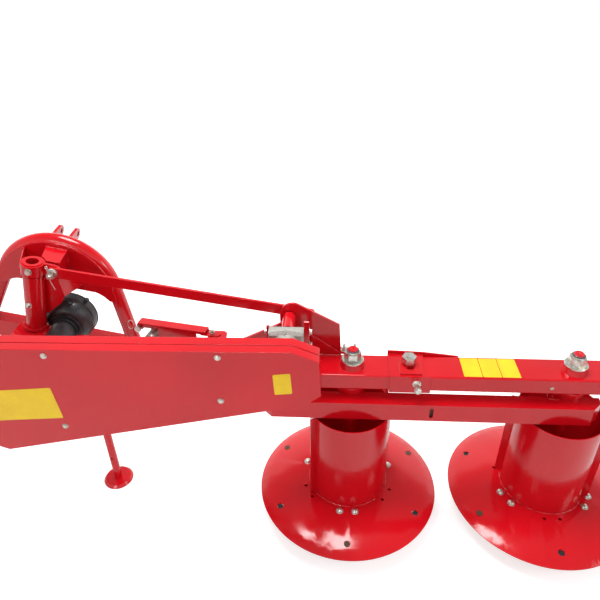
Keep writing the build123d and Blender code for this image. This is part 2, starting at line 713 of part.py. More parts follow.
def skid():
    """Skid bowl with its hub, free to turn on the axle's foot."""
    inner = AXLE_RADIUS + RUNNING
    gauge = SKID_GAUGE
    return turned([
        (0, 0),
        (SKID_FLAT_RADIUS, 0),
        (SKID_RADIUS - 60, SKID_RIM_Z * 0.28),
        (SKID_RADIUS, SKID_RIM_Z - gauge),
        (SKID_RADIUS, SKID_RIM_Z),
        (SKID_RADIUS - 4, SKID_RIM_Z),
        (SKID_RADIUS - 62, SKID_RIM_Z * 0.28 + gauge),
        (SKID_FLAT_RADIUS, gauge),
        (SKID_HUB_RADIUS + 12, gauge),
        (SKID_HUB_RADIUS, gauge + 12),
        (SKID_HUB_RADIUS, SKID_HUB_TOP),
        (inner, SKID_HUB_TOP),
        (inner, SKID_NUT_POCKET_TOP),
        (SKID_NUT_POCKET_RADIUS, SKID_NUT_POCKET_TOP),
        (SKID_NUT_POCKET_RADIUS, gauge),
        (0, gauge),
    ])


# Boom
def boom_beam():
    """Box beam with capped ends, bored across for the input shaft's housing."""
    outer = block((BOOM_LEFT, BOOM_BACK, BOOM_BOTTOM), (BOOM_RIGHT, BOOM_FRONT, BOOM_TOP))
    outer = fillet(outer.edges().filter_by(Axis.X), 8)
    wall = BOOM_WALL
    outer -= block(
        (BOOM_LEFT + wall, BOOM_BACK + wall, BOOM_BOTTOM + wall),
        (BOOM_RIGHT - wall, BOOM_FRONT - wall, BOOM_TOP - wall),
    )
    return outer - along_y(INPUT_HOUSING_RADIUS + SEAT, INPUT_X, INPUT_Z, BOOM_BACK - 1, BOOM_FRONT + 1)


def boom_fork():
    """Fork on the boom's end: cross plate, front arm with the hinge tube, rear arm round the trunnion."""
    left = BOOM_RIGHT + SEAT
    right = left + CROSS_PLATE
    low = BOOM_BOTTOM - 8
    high = BOOM_TOP + 16
    hinge = (HINGE_X, HINGE_Z)
    fork = block((left, REAR_ARM_Y, low), (right, FRONT_ARM_Y + ARM_GAUGE, high))
    rear = [
        (right - 1, low),
        tangent((right, low), hinge, ARM_RING_RADIUS, -1),
        hinge,
        tangent((right, high), hinge, ARM_RING_RADIUS, 1),
        (right - 1, high),
    ]
    front = [
        (right - 1, FRONT_ARM_ROOT),
        tangent((right, FRONT_ARM_ROOT), hinge, HINGE_TUBE_RADIUS, -1),
        hinge,
        (HINGE_X - HINGE_TUBE_RADIUS * 0.7, HINGE_Z),
        (right - 1, high),
    ]
    fork += plate_xz(rear, REAR_ARM_Y, REAR_ARM_Y + ARM_GAUGE)
    fork += along_y(ARM_RING_RADIUS, HINGE_X, HINGE_Z, REAR_ARM_Y, REAR_ARM_Y + ARM_GAUGE)
    fork += plate_xz(front, FRONT_ARM_Y, FRONT_ARM_Y + ARM_GAUGE)
    fork += along_y(HINGE_TUBE_RADIUS, HINGE_X, HINGE_Z, HINGE_TUBE_BACK, HINGE_TUBE_FRONT)
    fork -= along_y(HINGE_PIN_RADIUS + RUNNING, HINGE_X, HINGE_Z, HINGE_TUBE_BACK - 1, HINGE_TUBE_FRONT + 1)
    fork -= along_y(TRUNNION_RADIUS + RUNNING, HINGE_X, HINGE_Z, REAR_ARM_Y - 1, REAR_ARM_Y + ARM_GAUGE + 1)
    return fork


def hinge_pin():
    """Hinge pin with its head and washer in front of the tension bar."""
    front = BAR_Y + BAR_GAUGE / 2
    pin = along_y(HINGE_PIN_RADIUS, HINGE_X, HINGE_Z, HINGE_TUBE_BACK + 4, front + 12)
    pin += along_y(HINGE_PIN_RADIUS + 12, HINGE_X, HINGE_Z, front + SEAT, front + 5)
    pin += along_y(HINGE_PIN_RADIUS + 6, HINGE_X, HINGE_Z, front + 5, front + 16)
    return pin


def kingpin():
    """Hollow king pin with a shoulder under the sleeve and two foot plates on the boom."""
    pin = Pos(0, 0, -KINGPIN_LENGTH / 2) * Cylinder(KINGPIN_RADIUS, KINGPIN_LENGTH)
    pin += Pos(0, 0, -KINGPIN_HEAD_HEIGHT / 2) * Cylinder(KINGPIN_HEAD_RADIUS, KINGPIN_HEAD_HEIGHT)
    shoulder = SLEEVE_TUBE_TOP - SLEEVE_TUBE_LENGTH - SEAT - SHOULDER_GAUGE / 2
    pin += Pos(0, 0, shoulder) * Cylinder(SHOULDER_RADIUS, SHOULDER_GAUGE)
    whole = on_king_post(pin)
    foot_x = KINGPIN_X - (KINGPIN_Z - BOOM_TOP) * tan(radians(LEAN))
    for low in (BOOM_TOP + SEAT, BOOM_BOTTOM - SEAT - PLATE):
        right = foot_x + FOOT_PLATE_HALF
        plate = block((BOOM_LEFT, BOOM_BACK + 6, low), (right, KINGPIN_Y + 52, low + PLATE))
        whole += fillet(plate.edges().filter_by(Axis.Z).sort_by(Axis.Y)[-2:], FOOT_PLATE_HALF * 0.6)
    whole -= along_y(INPUT_HOUSING_RADIUS + SEAT, INPUT_X, INPUT_Z, BOOM_BACK, INPUT_HOUSING_FRONT)
    whole -= along_y(CUP_NECK_RADIUS + 14, INPUT_X, INPUT_Z, INPUT_HOUSING_FRONT - 18, CUP_FRONT)
    bore = Pos(0, 0, -KINGPIN_LENGTH / 2) * Cylinder(KINGPIN_BORE, KINGPIN_LENGTH + 2)
    return whole - on_king_post(bore)


def kingpin_collar():
    """Collar clamped on top of the king pin, with the tension bar's ear."""
    height = COLLAR_TUBE_TOP - COLLAR_TUBE_BOTTOM
    middle = (COLLAR_TUBE_TOP + COLLAR_TUBE_BOTTOM) / 2
    collar = Pos(0, 0, middle) * Cylinder(COLLAR_TUBE_RADIUS, height)
    ear_back = BAR_Y + BAR_GAUGE / 2 - KINGPIN_Y + SEAT
    ear = block((0, ear_back, COLLAR_TUBE_BOTTOM), (EAR_PIN_U, ear_back + EAR_GAUGE, EAR_PIN_W + EAR_RADIUS))
    ear += along_y(EAR_RADIUS, EAR_PIN_U, EAR_PIN_W, ear_back, ear_back + EAR_GAUGE)
    ear -= along_y(9, EAR_PIN_U, EAR_PIN_W, ear_back - 1, ear_back + EAR_GAUGE + 1)
    collar += ear
    collar -= Pos(0, 0, middle) * Cylinder(KINGPIN_RADIUS + SEAT, height + 2)
    pocket = Cylinder(KINGPIN_HEAD_RADIUS + SEAT, KINGPIN_HEAD_HEIGHT + 2 * SEAT)
    collar -= Pos(0, 0, -KINGPIN_HEAD_HEIGHT / 2) * pocket
    return on_king_post(collar)


def bar_ear_point():
    """Where the tension bar's bolt is, in X and Z."""
    lean = radians(LEAN)
    x = KINGPIN_X + EAR_PIN_U * cos(lean) + EAR_PIN_W * sin(lean)
    z = KINGPIN_Z - EAR_PIN_U * sin(lean) + EAR_PIN_W * cos(lean)
    return x, z


def tension_bar():
    """Flat bar on edge from the collar's ear to the hinge pin, where it has a welded eye."""
    x, z = bar_ear_point()
    span = hypot(HINGE_X - x, HINGE_Z + BAR_RISE - z)
    tip = degrees(atan2(z - HINGE_Z - BAR_RISE, HINGE_X - x))
    back = BAR_Y - BAR_GAUGE / 2
    front = BAR_Y + BAR_GAUGE / 2
    bar = block((-20, -BAR_GAUGE / 2, -BAR_HEIGHT / 2), (span + BAR_END, BAR_GAUGE / 2, BAR_HEIGHT / 2))
    bar = Pos(x, BAR_Y, z) * Rot(0, tip, 0) * fillet(bar.edges().filter_by(Axis.Y), 12)
    bar += along_y(BAR_EYE_RADIUS, HINGE_X, HINGE_Z, back, front)
    bar -= along_y(9, x, z, back - 1, front + 1)
    bar -= along_y(HINGE_PIN_RADIUS + RUNNING, HINGE_X, HINGE_Z, back - 1, front + 1)
    return bar


def bar_bolt():
    """Bolt with castle nut that holds the tension bar to the collar's ear."""
    x, z = bar_ear_point()
    back = BAR_Y - BAR_GAUGE / 2
    front = BAR_Y + BAR_GAUGE / 2 + SEAT + EAR_GAUGE
    bolt = along_y(8.7, x, z, back - 24, front + SEAT)
    bolt += along_y(14, x, z, front + SEAT, front + 6)
    section = Plane(origin=(x, back - SEAT - 16, z), x_dir=(1, 0, 0), z_dir=(0, 1, 0))
    bolt += extrude(section * RegularPolygon(14, 6, major_radius=False), 16)
    return bolt


def guard_outline():
    """The belt guard's outline in X and Z."""
    return [
        (GUARD_LEFT + 84, 995.0),
        (-198.0, 1008.5),
        (-116.0, 973.0),
        (-109.0, 839.0),
        (-159.0, 797.0),
        (-1207.0, 550.5),
        (GUARD_LEFT + 64, 581.0),
        (GUARD_LEFT, 660.0),
        (GUARD_LEFT, 905.0),
    ]


def guard_box():
    """Guard's box half: back sheet and rim, open towards the lid."""
    outer = plate_xz(guard_outline(), GUARD_SEAM, GUARD_BACK)
    depth = GUARD_BACK - GUARD_SEAM - GUARD_SHEET
    inner = Pos(0, GUARD_SEAM - 1, 0) * Rot(-90, 0, 0) * extrude(inner_guard_face(), depth + 1)
    shell = outer - inner
    shell -= along_y(INPUT_HOUSING_RADIUS + SEAT, INPUT_X, INPUT_Z, GUARD_SEAM, GUARD_BACK + 1)
    return shell - along_y(TRUNNION_RADIUS + 12, HINGE_X, HINGE_Z, GUARD_SEAM, GUARD_BACK + 1)


def inner_guard_face():
    """The space inside the guard's rim."""
    points = [(x, -z) for x, z in guard_outline()]
    face = make_face(Polyline(points, close=True).edges())
    return offset(face, -GUARD_SHEET, kind=Kind.INTERSECTION)


def guard_lid():
    """Guard's lid half, bolted on."""
    outer = plate_xz(guard_outline(), GUARD_FRONT, GUARD_SEAM - GUARD_SEAM_GAP)
    depth = GUARD_SEAM - GUARD_SEAM_GAP - GUARD_FRONT - GUARD_SHEET
    inner = Pos(0, GUARD_FRONT + GUARD_SHEET, 0) * Rot(-90, 0, 0) * extrude(inner_guard_face(), depth + 1)
    return outer - inner


def input_housing():
    """Bearing tube of the input shaft, welded through the boom, flanged at both ends."""
    tube = along_y(INPUT_HOUSING_RADIUS, INPUT_X, INPUT_Z, GUARD_BACK - GUARD_SHEET, INPUT_HOUSING_FRONT)
    tube += along_y(INPUT_HOUSING_RADIUS + 6, INPUT_X, INPUT_Z, INPUT_HOUSING_FRONT - 12, INPUT_HOUSING_FRONT)
    tube += along_y(INPUT_HOUSING_RADIUS + 22, INPUT_X, INPUT_Z, GUARD_BACK + SEAT, GUARD_BACK + 10)
    bore = INPUT_SHAFT_RADIUS + 10 + RUNNING
    return tube - along_y(bore, INPUT_X, INPUT_Z, GUARD_BACK - 10, INPUT_HOUSING_FRONT + 1)


def input_shaft():
    """Input shaft with six splines and a locking groove on its free end."""
    journal = INPUT_SHAFT_RADIUS + 10
    shaft = along_y(journal, INPUT_X, INPUT_Z, GUARD_BACK - 8, INPUT_HOUSING_FRONT + 14)
    stub = along_y(INPUT_SHAFT_RADIUS, INPUT_X, INPUT_Z, INPUT_HOUSING_FRONT + 14, INPUT_SHAFT_FRONT)
    start = INPUT_HOUSING_FRONT + 26
    end = INPUT_SHAFT_FRONT + 1
    for index in range(6):
        groove = block((-4.4, start, INPUT_SHAFT_RADIUS - 2.6), (4.4, end, INPUT_SHAFT_RADIUS + 2))
        stub -= Pos(INPUT_X, 0, INPUT_Z) * Rot(0, 60 * index, 0) * groove
    return shaft + stub


def shaft_cup():
    """Black moulded cup round the input shaft, open forward."""
    outer = [
        (CUP_NECK_RADIUS, CUP_BACK),
        (CUP_NECK_RADIUS + 6, CUP_BACK + 3),
        (CUP_BODY_RADIUS - 4, CUP_BACK + 16),
        (CUP_BODY_RADIUS, CUP_BACK + 40),
        (CUP_BODY_RADIUS, CUP_BACK + 84),
        (CUP_RADIUS, CUP_BACK + 90),
        (CUP_RADIUS, CUP_FRONT),
        (CUP_RADIUS - CUP_WALL, CUP_FRONT),
        (CUP_RADIUS - CUP_WALL, CUP_BACK + 92),
        (CUP_BODY_RADIUS - CUP_WALL, CUP_BACK + 86),
        (CUP_BODY_RADIUS - CUP_WALL, CUP_BACK + 41),
        (CUP_BODY_RADIUS - 4 - CUP_WALL, CUP_BACK + 18),
        (CUP_NECK_RADIUS + 4 - CUP_WALL, CUP_BACK + 3 + CUP_WALL),
        (INPUT_SHAFT_RADIUS + 20, CUP_BACK + CUP_WALL),
        (INPUT_SHAFT_RADIUS + 20, CUP_BACK),
    ]
    return Pos(INPUT_X, 0, INPUT_Z) * Rot(-90, 0, 0) * turned(outer)


def cup_bracket():
    """Ring with two lugs that holds the cup on the housing's flange."""
    low = INPUT_HOUSING_FRONT + SEAT
    ring = along_y(INPUT_HOUSING_RADIUS + 18, INPUT_X, INPUT_Z, low, CUP_BACK - SEAT)
    ring -= along_y(INPUT_SHAFT_RADIUS + 16, INPUT_X, INPUT_Z, low - 1, CUP_BACK + 1)
    return ring


def leg_socket():
    """Square socket of the parking leg on the boom's front face."""
    back = BOOM_FRONT + SEAT
    front = LEG_Y + SOCKET_HALF
    socket = block((LEG_X - SOCKET_HALF, back, SOCKET_BOTTOM), (LEG_X + SOCKET_HALF, front, SOCKET_TOP))
    return socket - upright(LEG_RADIUS + RUNNING, LEG_X, LEG_Y, SOCKET_BOTTOM - 1, SOCKET_TOP + 1)


def parking_leg():
    """Parking leg tube with its row of pin holes."""
    leg = upright(LEG_RADIUS, LEG_X, LEG_Y, FOOT_DISH + FOOT_GAUGE, LEG_TOP)
    leg -= upright(LEG_RADIUS - LEG_WALL, LEG_X, LEG_Y, FOOT_DISH + FOOT_GAUGE - 1, LEG_TOP + 1)
    for height in (140.0, 440.0):
        leg -= along_y(5.5, LEG_X, height, LEG_Y - 30, LEG_Y + 30)
    return leg


def parking_foot():
    """Round dished foot of the parking leg."""
    foot = turned([
        (0, FOOT_DISH),
        (FOOT_RADIUS - 12, FOOT_DISH),
        (FOOT_RADIUS - 3, 0),
        (FOOT_RADIUS, 0),
        (FOOT_RADIUS, 2),
        (FOOT_RADIUS - 9, FOOT_DISH + FOOT_GAUGE),
        (0, FOOT_DISH + FOOT_GAUGE),
    ])
    return Pos(LEG_X, LEG_Y, 0) * foot


# Breakaway latch
def latch_frame():
    """Place of the latch, its X axis from the hitch's end to the boom's end."""
    start = Vector(*LATCH_START)
    axis = (Vector(*LATCH_END) - start).normalized()
    return Plane(origin=start, x_dir=axis, z_dir=Vector(0, 0, 1) - axis * axis.Z)


def latch_length():
    """Distance between the latch's two ends."""
    return (Vector(*LATCH_END) - Vector(*LATCH_START)).length


def latch_channel():
    """Cover channel of the latch: spring seat and guide underneath, nose at the boom's end."""
    length = latch_length()
    half = LATCH_WIDTH / 2
    gauge = LATCH_GAUGE
    channel = block((LATCH_CHANNEL_START, -half, -LATCH_LIP), (length, half, 0))
    room = half - gauge
    channel -= block((LATCH_CHANNEL_START - 1, -room, -LATCH_LIP - 1), (length + 1, room, -gauge))
    channel += block((LATCH_GUIDE_START, -half, -LATCH_GUIDE_DEPTH), (LATCH_GUIDE_END, half, -gauge))
    channel += block((LATCH_GUIDE_END - 1, -half, -LATCH_GUIDE_DEPTH), (LATCH_WEB_END, -half + gauge, -gauge))
    channel -= rod(
        LATCH_ROD_RADIUS + SEAT,
        (LATCH_GUIDE_START - 1, 0, LATCH_ROD_DROP),
        (LATCH_GUIDE_END + 1, 0, LATCH_ROD_DROP),
    )
    seat = SPRING_RADIUS * 0.6
    channel += block((SPRING_X - seat, half - gauge, SPRING_DROP - seat), (SPRING_X + seat, half, -gauge))
    core_end = half - gauge - SPRING_TURNS * SPRING_PITCH - SPRING_WIRE
    channel += rod(spring_core(), (SPRING_X, half - 1, SPRING_DROP), (SPRING_X, core_end, SPRING_DROP))
    nose = block((length - 20, -half, -LATCH_LIP - gauge), (length + LATCH_NOSE_LENGTH, half, -LATCH_LIP))
    channel += chamfer(nose.edges().filter_by(Axis.Z).sort_by(Axis.X)[-2:], half * 0.7)
    channel -= Pos(length + 14, 0, -LATCH_LIP) * Cylinder(7, 30)
    return latch_frame() * channel


def spring_core():
    """Radius of the core that the latch spring is wound on."""
    return SPRING_RADIUS - 2 * SPRING_WIRE - SEAT


def latch_rod():
    """Latch rod from the pull pin's eye into its guide."""
    end = (LATCH_GUIDE_END - 20, 0, LATCH_ROD_DROP)
    bar = rod(LATCH_ROD_RADIUS, (LATCH_EYE_X, 0, LATCH_ROD_DROP), end)
    bar += Pos(LATCH_EYE_X, 0, LATCH_ROD_DROP) * Rot(90, 0, 0) * Cylinder(LATCH_EYE_RADIUS, 16)
    bar -= Pos(LATCH_EYE_X, 0, LATCH_ROD_DROP) * Rot(90, 0, 0) * Cylinder(LATCH_PIN_RADIUS + SEAT, 30)
    return latch_frame() * bar


def latch_spring():
    """Turns of the latch spring, side by side on their core."""
    front = LATCH_WIDTH / 2 - LATCH_GAUGE - SPRING_WIRE - SEAT
    turns = []
    for index in range(SPRING_TURNS):
        ring = Rot(90, 0, 0) * Torus(SPRING_RADIUS - SPRING_WIRE, SPRING_WIRE)
        turns.append(latch_frame() * Pos(SPRING_X, front - SPRING_PITCH * index, SPRING_DROP) * ring)
    return Compound(children=turns)


def latch_pin():
    """Pull pin through the latch rod's eye."""
    pin = Pos(LATCH_EYE_X, 0, LATCH_ROD_DROP) * Rot(90, 0, 0) * Cylinder(LATCH_PIN_RADIUS, 64)
    pin += Pos(LATCH_EYE_X, -30, LATCH_ROD_DROP) * Rot(90, 0, 0) * Cylinder(LATCH_PIN_RADIUS + 5, 5)
    return latch_frame() * pin


def boom_latch_bracket():
    """Bracket on the boom that carries the latch's far end."""
    x, y, z = LATCH_END
    low = BOOM_TOP + SEAT
    high = z - LATCH_LIP - LATCH_GAUGE - SEAT
    left = x + 6
    right = left + 70
    foot = block((left, BOOM_FRONT - 40, low), (right, BOOM_FRONT + 12, low + 6))
    foot += block((left, BOOM_FRONT + SEAT, BOOM_TOP - 40), (right, BOOM_FRONT + 12, low + 6))
    shelf = block((left, BOOM_FRONT + 4, high - 8), (right, y + LATCH_WIDTH / 2, high))
    shelf = chamfer(shelf.edges().filter_by(Axis.Z).sort_by(Axis.Y)[-1:], 12)
    return foot + shelf


# Hitch
def arch_bar(radius):
    """Round bar bent to the hitch's arch: round top and two splayed legs."""
    splay = radians(ARCH_SPLAY)
    y = ARCH_Y - KINGPIN_Y
    side_u = ARCH_RADIUS * cos(splay)
    side_w = ARCH_W + ARCH_RADIUS * sin(splay)
    drop = side_w - CROSS_BAR_TOP + ARCH_TUBE_RADIUS
    foot_u = side_u + drop * tan(splay)
    foot_w = side_w - drop
    left = Line((ARCH_U - foot_u, y, foot_w), (ARCH_U - side_u, y, side_w))
    top = ThreePointArc(
        (ARCH_U - side_u, y, side_w),
        (ARCH_U, y, ARCH_W + ARCH_RADIUS),
        (ARCH_U + side_u, y, side_w),
    )
    right = Line((ARCH_U + side_u, y, side_w), (ARCH_U + foot_u, y, foot_w))
    start = Plane(origin=(ARCH_U - foot_u, y, foot_w), z_dir=(sin(splay), 0, cos(splay)))
    return sweep(start * Circle(radius), path=Wire([left, top, right]))


def hitch_arch():
    """Bent tube of the hitch, its legs cut flat on the cross bar."""
    y = ARCH_Y - KINGPIN_Y
    floor = CROSS_BAR_TOP + SEAT
    tube = arch_bar(ARCH_TUBE_RADIUS) - arch_bar(ARCH_TUBE_RADIUS - ARCH_TUBE_WALL)
    tube -= block((ARCH_U - 600, y - 100, floor - 200), (ARCH_U + 600, y + 100, floor))
    return on_king_post(tube)


def hitch_cross_bar():
    """Box cross bar under the arch's feet, closed at both ends."""
    y = ARCH_Y - KINGPIN_Y
    wall = CROSS_BAR_WALL
    low = CROSS_BAR_TOP - CROSS_BAR_HEIGHT
    half = LOWER_PIN_HALF_SPAN
    bar = block((ARCH_U - half, y - CROSS_BAR_HALF, low), (ARCH_U + half, y + CROSS_BAR_HALF, CROSS_BAR_TOP))
    bar -= block(
        (ARCH_U - half + wall, y - CROSS_BAR_HALF + wall, low + wall),
        (ARCH_U + half - wall, y + CROSS_BAR_HALF - wall, CROSS_BAR_TOP - wall),
    )
    return on_king_post(bar)


def lower_pins():
    """Lower hitch pins on both ends of the cross bar."""
    y = ARCH_Y - KINGPIN_Y
    w = TOP_PIN_W - MAST_HEIGHT
    pins = []
    for side in (-1, 1):
        start = ARCH_U + side * (LOWER_PIN_HALF_SPAN + SEAT)
        pin = rod(LOWER_PIN_RADIUS, (start, y, w), (start + side * LOWER_PIN_LENGTH, y, w))
        pin += rod(LOWER_PIN_RADIUS + 9, (start, y, w), (start + side * 8, y, w))
        hole = start + side * (LOWER_PIN_LENGTH - 14)
        pin -= Pos(hole, y, w) * Cylinder(6, 60)
        pins.append(on_king_post(pin))
    return Compound(children=pins)


def top_link_ears():
    """Two ears on the arch's top for the tractor's top link."""
    y = ARCH_Y - KINGPIN_Y
    nose_y = TOP_PIN_Y - KINGPIN_Y
    reach = ARCH_RADIUS + ARCH_TUBE_RADIUS
    ears = []
    for side in (-1, 1):
        inner = ARCH_U + side * EAR_HALF_GAP
        low_u = min(inner, inner + side * TOP_EAR_GAUGE)
        profile = [
            (y + 24, ARCH_W + reach - 14),
            (nose_y - 8, TOP_PIN_W + TOP_EAR_NOSE - 1),
            (nose_y + 4, TOP_PIN_W - TOP_EAR_NOSE),
            (y + 10, ARCH_W + reach - 66),
        ]
        outline = Polyline([(low_u, a, b) for a, b in profile], close=True)
        ear = extrude(make_face(outline.edges()), TOP_EAR_GAUGE, dir=(1, 0, 0))
        middle = low_u + TOP_EAR_GAUGE / 2
        nose = Pos(middle, nose_y, TOP_PIN_W) * Rot(0, 90, 0)
        ear += nose * Cylinder(TOP_EAR_NOSE, TOP_EAR_GAUGE)
        ear -= nose * Cylinder(TOP_PIN_HOLE_RADIUS, TOP_EAR_GAUGE + 2)
        ear -= arch_bar(ARCH_TUBE_RADIUS + SEAT)
        ears.append(on_king_post(ear))
    return Compound(children=ears)


def web_back():
    """Where the web plate's rear face is, forward of the king post."""
    return ARCH_Y - KINGPIN_Y - ARCH_TUBE_RADIUS - SEAT - WEB_GAUGE


def arch_webs():
    """Web plate lapped on the arch's rear side, its lower edge hollowed between two feet."""
    splay = radians(ARCH_SPLAY)
    reach = ARCH_RADIUS + WEB_LAP
    side_u = reach * cos(splay)
    side_w = ARCH_W + reach * sin(splay)
    foot_u = side_u + (side_w - WEB_FOOT) * tan(splay)
    step = WEB_BOTTOM - WEB_FOOT
    knee = WEB_HALF_SPAN + step * 0.75
    back = web_back()
    edges = [
        ThreePointArc((ARCH_U - side_u, side_w), (ARCH_U, ARCH_W + reach), (ARCH_U + side_u, side_w)),
        Line((ARCH_U + side_u, side_w), (ARCH_U + foot_u, WEB_FOOT)),
        Line((ARCH_U + foot_u, WEB_FOOT), (ARCH_U + knee, WEB_FOOT)),
        ThreePointArc(
            (ARCH_U + knee, WEB_FOOT),
            (ARCH_U + WEB_HALF_SPAN - step * 0.15, WEB_BOTTOM - step * 0.35),
            (ARCH_U + WEB_HALF_SPAN - step, WEB_BOTTOM),
        ),
        Line((ARCH_U + WEB_HALF_SPAN - step, WEB_BOTTOM), (ARCH_U - WEB_HALF_SPAN + step, WEB_BOTTOM)),
        ThreePointArc(
            (ARCH_U - WEB_HALF_SPAN + step, WEB_BOTTOM),
            (ARCH_U - WEB_HALF_SPAN + step * 0.15, WEB_BOTTOM - step * 0.35),
            (ARCH_U - knee, WEB_FOOT),
        ),
        Line((ARCH_U - knee, WEB_FOOT), (ARCH_U - foot_u, WEB_FOOT)),
        Line((ARCH_U - foot_u, WEB_FOOT), (ARCH_U - side_u, side_w)),
    ]
    face = make_face(edges)
    plate = Pos(0, back + WEB_GAUGE, 0) * Rot(90, 0, 0) * extrude(face, WEB_GAUGE)
    return on_king_post(plate)


def bracket_side(points, low, high):
    """One upright plate of the bracket, along a line of points in u and y."""
    outline = Polyline(points, close=True)
    return Pos(0, 0, low) * extrude(make_face(outline.edges()), high - low)


def hitch_bracket():
    """Box bracket from the web back to the collar: two sides, floor and part of a top."""
    wall = BRACKET_WALL
    end = web_back() - SEAT
    near = COLLAR_TUBE_RADIUS + BRACKET_CLEARANCE
    low = BRACKET_FLOOR
    edge = BRACKET_RIGHT - BRACKET_SKEW
    corner = (BRACKET_RIGHT, BRACKET_BACK)
    sheet = BRACKET_LEFT_GAUGE
    right = [(edge - wall, end), (edge, end), corner, (BRACKET_RIGHT - wall, BRACKET_BACK)]
    left = [
        (-near - sheet, -wall),
        (-near, -wall),
        (-near, 0),
        (sheet - BRACKET_LEFT, end),
        (-BRACKET_LEFT, end),
        (-near - sheet, 4),
    ]
    top = [(-2, end), (edge, end), corner, (20, BRACKET_BACK)]
    floor = [(-BRACKET_LEFT, end), (edge, end), corner, (20, -wall), (-near - sheet, -wall)]
    bracket = bracket_side(right, low, BRACKET_TOP)
    bracket += bracket_side(left, low, BRACKET_LEFT_TOP)
    bracket += bracket_side(top, BRACKET_TOP - wall, BRACKET_TOP)
    bracket += bracket_side(floor, low - wall, low)
    bracket -= Cylinder(near, 2 * abs(BRACKET_FLOOR) - 2)
    bracket -= Pos(0, 0, low) * Cylinder(SLEEVE_TUBE_RADIUS + SEAT, 4 * wall)
    return on_king_post(bracket)


def hitch_sleeve():
    """Sleeve round the king pin with the gussets under the bracket."""
    middle = SLEEVE_TUBE_TOP - SLEEVE_TUBE_LENGTH / 2
    sleeve = Pos(0, 0, middle) * Cylinder(SLEEVE_TUBE_RADIUS, SLEEVE_TUBE_LENGTH)
    low = BRACKET_FLOOR - BRACKET_WALL - SEAT
    end = web_back() - SEAT
    gauge = SLEEVE_GUSSET_GAUGE
    foot = low - SLEEVE_GUSSET_DROP
    near_u = BRACKET_RIGHT - BRACKET_WALL
    far_u = near_u + APRON_FAR_U - APRON_NEAR_U
    ahead = [(0, low), (end, low), (SLEEVE_TUBE_RADIUS + 8, APRON_BOTTOM), (0, APRON_BOTTOM)]
    outline = Polyline([(-gauge / 2, a, b) for a, b in ahead], close=True)
    sleeve += extrude(make_face(outline.edges()), gauge, dir=(1, 0, 0))
    beside = [
        (0, low),
        (near_u, low),
        (APRON_NEAR_U, APRON_BOTTOM),
        APRON_KNEE,
        (SLEEVE_TUBE_RADIUS + 2, foot),
        (0, foot),
    ]
    outline = Polyline([(a, BRACKET_BACK, b) for a, b in beside], close=True)
    sleeve += extrude(make_face(outline.edges()), gauge, dir=(0, 1, 0))
    cut = APRON_CORNER
    apron = Polyline(
        (near_u, BRACKET_BACK, low),
        (far_u + cut * (APRON_NEAR_U - near_u), end, low + cut * (APRON_BOTTOM - low)),
        (APRON_FAR_U, end, APRON_BOTTOM),
        (APRON_NEAR_U, BRACKET_BACK, APRON_BOTTOM),
        close=True,
    )
    sleeve += extrude(make_face(apron.edges()), gauge * 0.8, dir=(-1, 0, 0))
    sleeve -= Pos(0, 0, middle) * Cylinder(KINGPIN_RADIUS + RUNNING, SLEEVE_TUBE_LENGTH + 2)
    return on_king_post(sleeve)


DRUMS = (
    # name, axle's X, angle of the first bolted pair, angle of the first rib
    ("inner", 0.0, -91.0, -147.0),
    ("outer", DRUM_PITCH, -31.0, 157.0),
)

write(upper_beam(), "upper_beam")
write(lower_beam(), "lower_beam")
write(bearing_housings(), "bearing_housings")
write(axles(), "axles")
write(axle_nuts(), "axle_nuts")
write(cover_clamp(), "cover_clamp")
write(clamp_nut(), "clamp_nut")
write(hinge_plate(), "hinge_plate")
write(gearbox_plates(), "gearbox_plates")
write(beam_gusset(), "beam_gusset")
write(gearbox(), "gearbox")

for name, x, first_bolts, rib_angle in DRUMS:
    place = Pos(x, 0, 0)
    write(place * drum(rib_angle), f"{name}_drum")
    write(place * disc(first_bolts), f"{name}_disc")
    write(place * drive_sleeve(), f"{name}_drive_sleeve")
    write(place * knife_holders(first_bolts), f"{name}_knife_holders")
    write(place * knives(first_bolts), f"{name}_knives")
    write(place * skid(), f"{name}_skid")

write(boom_beam(), "boom_beam")
write(boom_fork(), "boom_fork")
write(hinge_pin(), "hinge_pin")
write(kingpin(), "kingpin")
write(kingpin_collar(), "kingpin_collar")
write(tension_bar(), "tension_bar")
write(bar_bolt(), "tension_bar_bolt")
write(guard_box(), "belt_guard_box")
write(guard_lid(), "belt_guard_lid")
write(input_housing(), "input_housing")
write(input_shaft(), "input_shaft")
write(shaft_cup(), "shaft_cup")
write(cup_bracket(), "cup_bracket")
write(leg_socket(), "leg_socket")
write(parking_leg(), "parking_leg")
write(parking_foot(), "parking_foot")
write(latch_channel(), "latch_channel")
write(latch_rod(), "latch_rod")
write(latch_spring(), "latch_spring")
write(latch_pin(), "latch_pin")
write(boom_latch_bracket(), "latch_bracket")

write(hitch_arch(), "hitch_arch")
write(hitch_cross_bar(), "hitch_cross_bar")
write(lower_pins(), "lower_hitch_pins")
write(top_link_ears(), "top_link_ears")
write(arch_webs(), "arch_webs")
write(hitch_bracket(), "hitch_bracket")
write(hitch_sleeve(), "hitch_sleeve")
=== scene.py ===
import json
from math import cos, pi, radians, sin

import bpy
from mathutils import Matrix, Vector

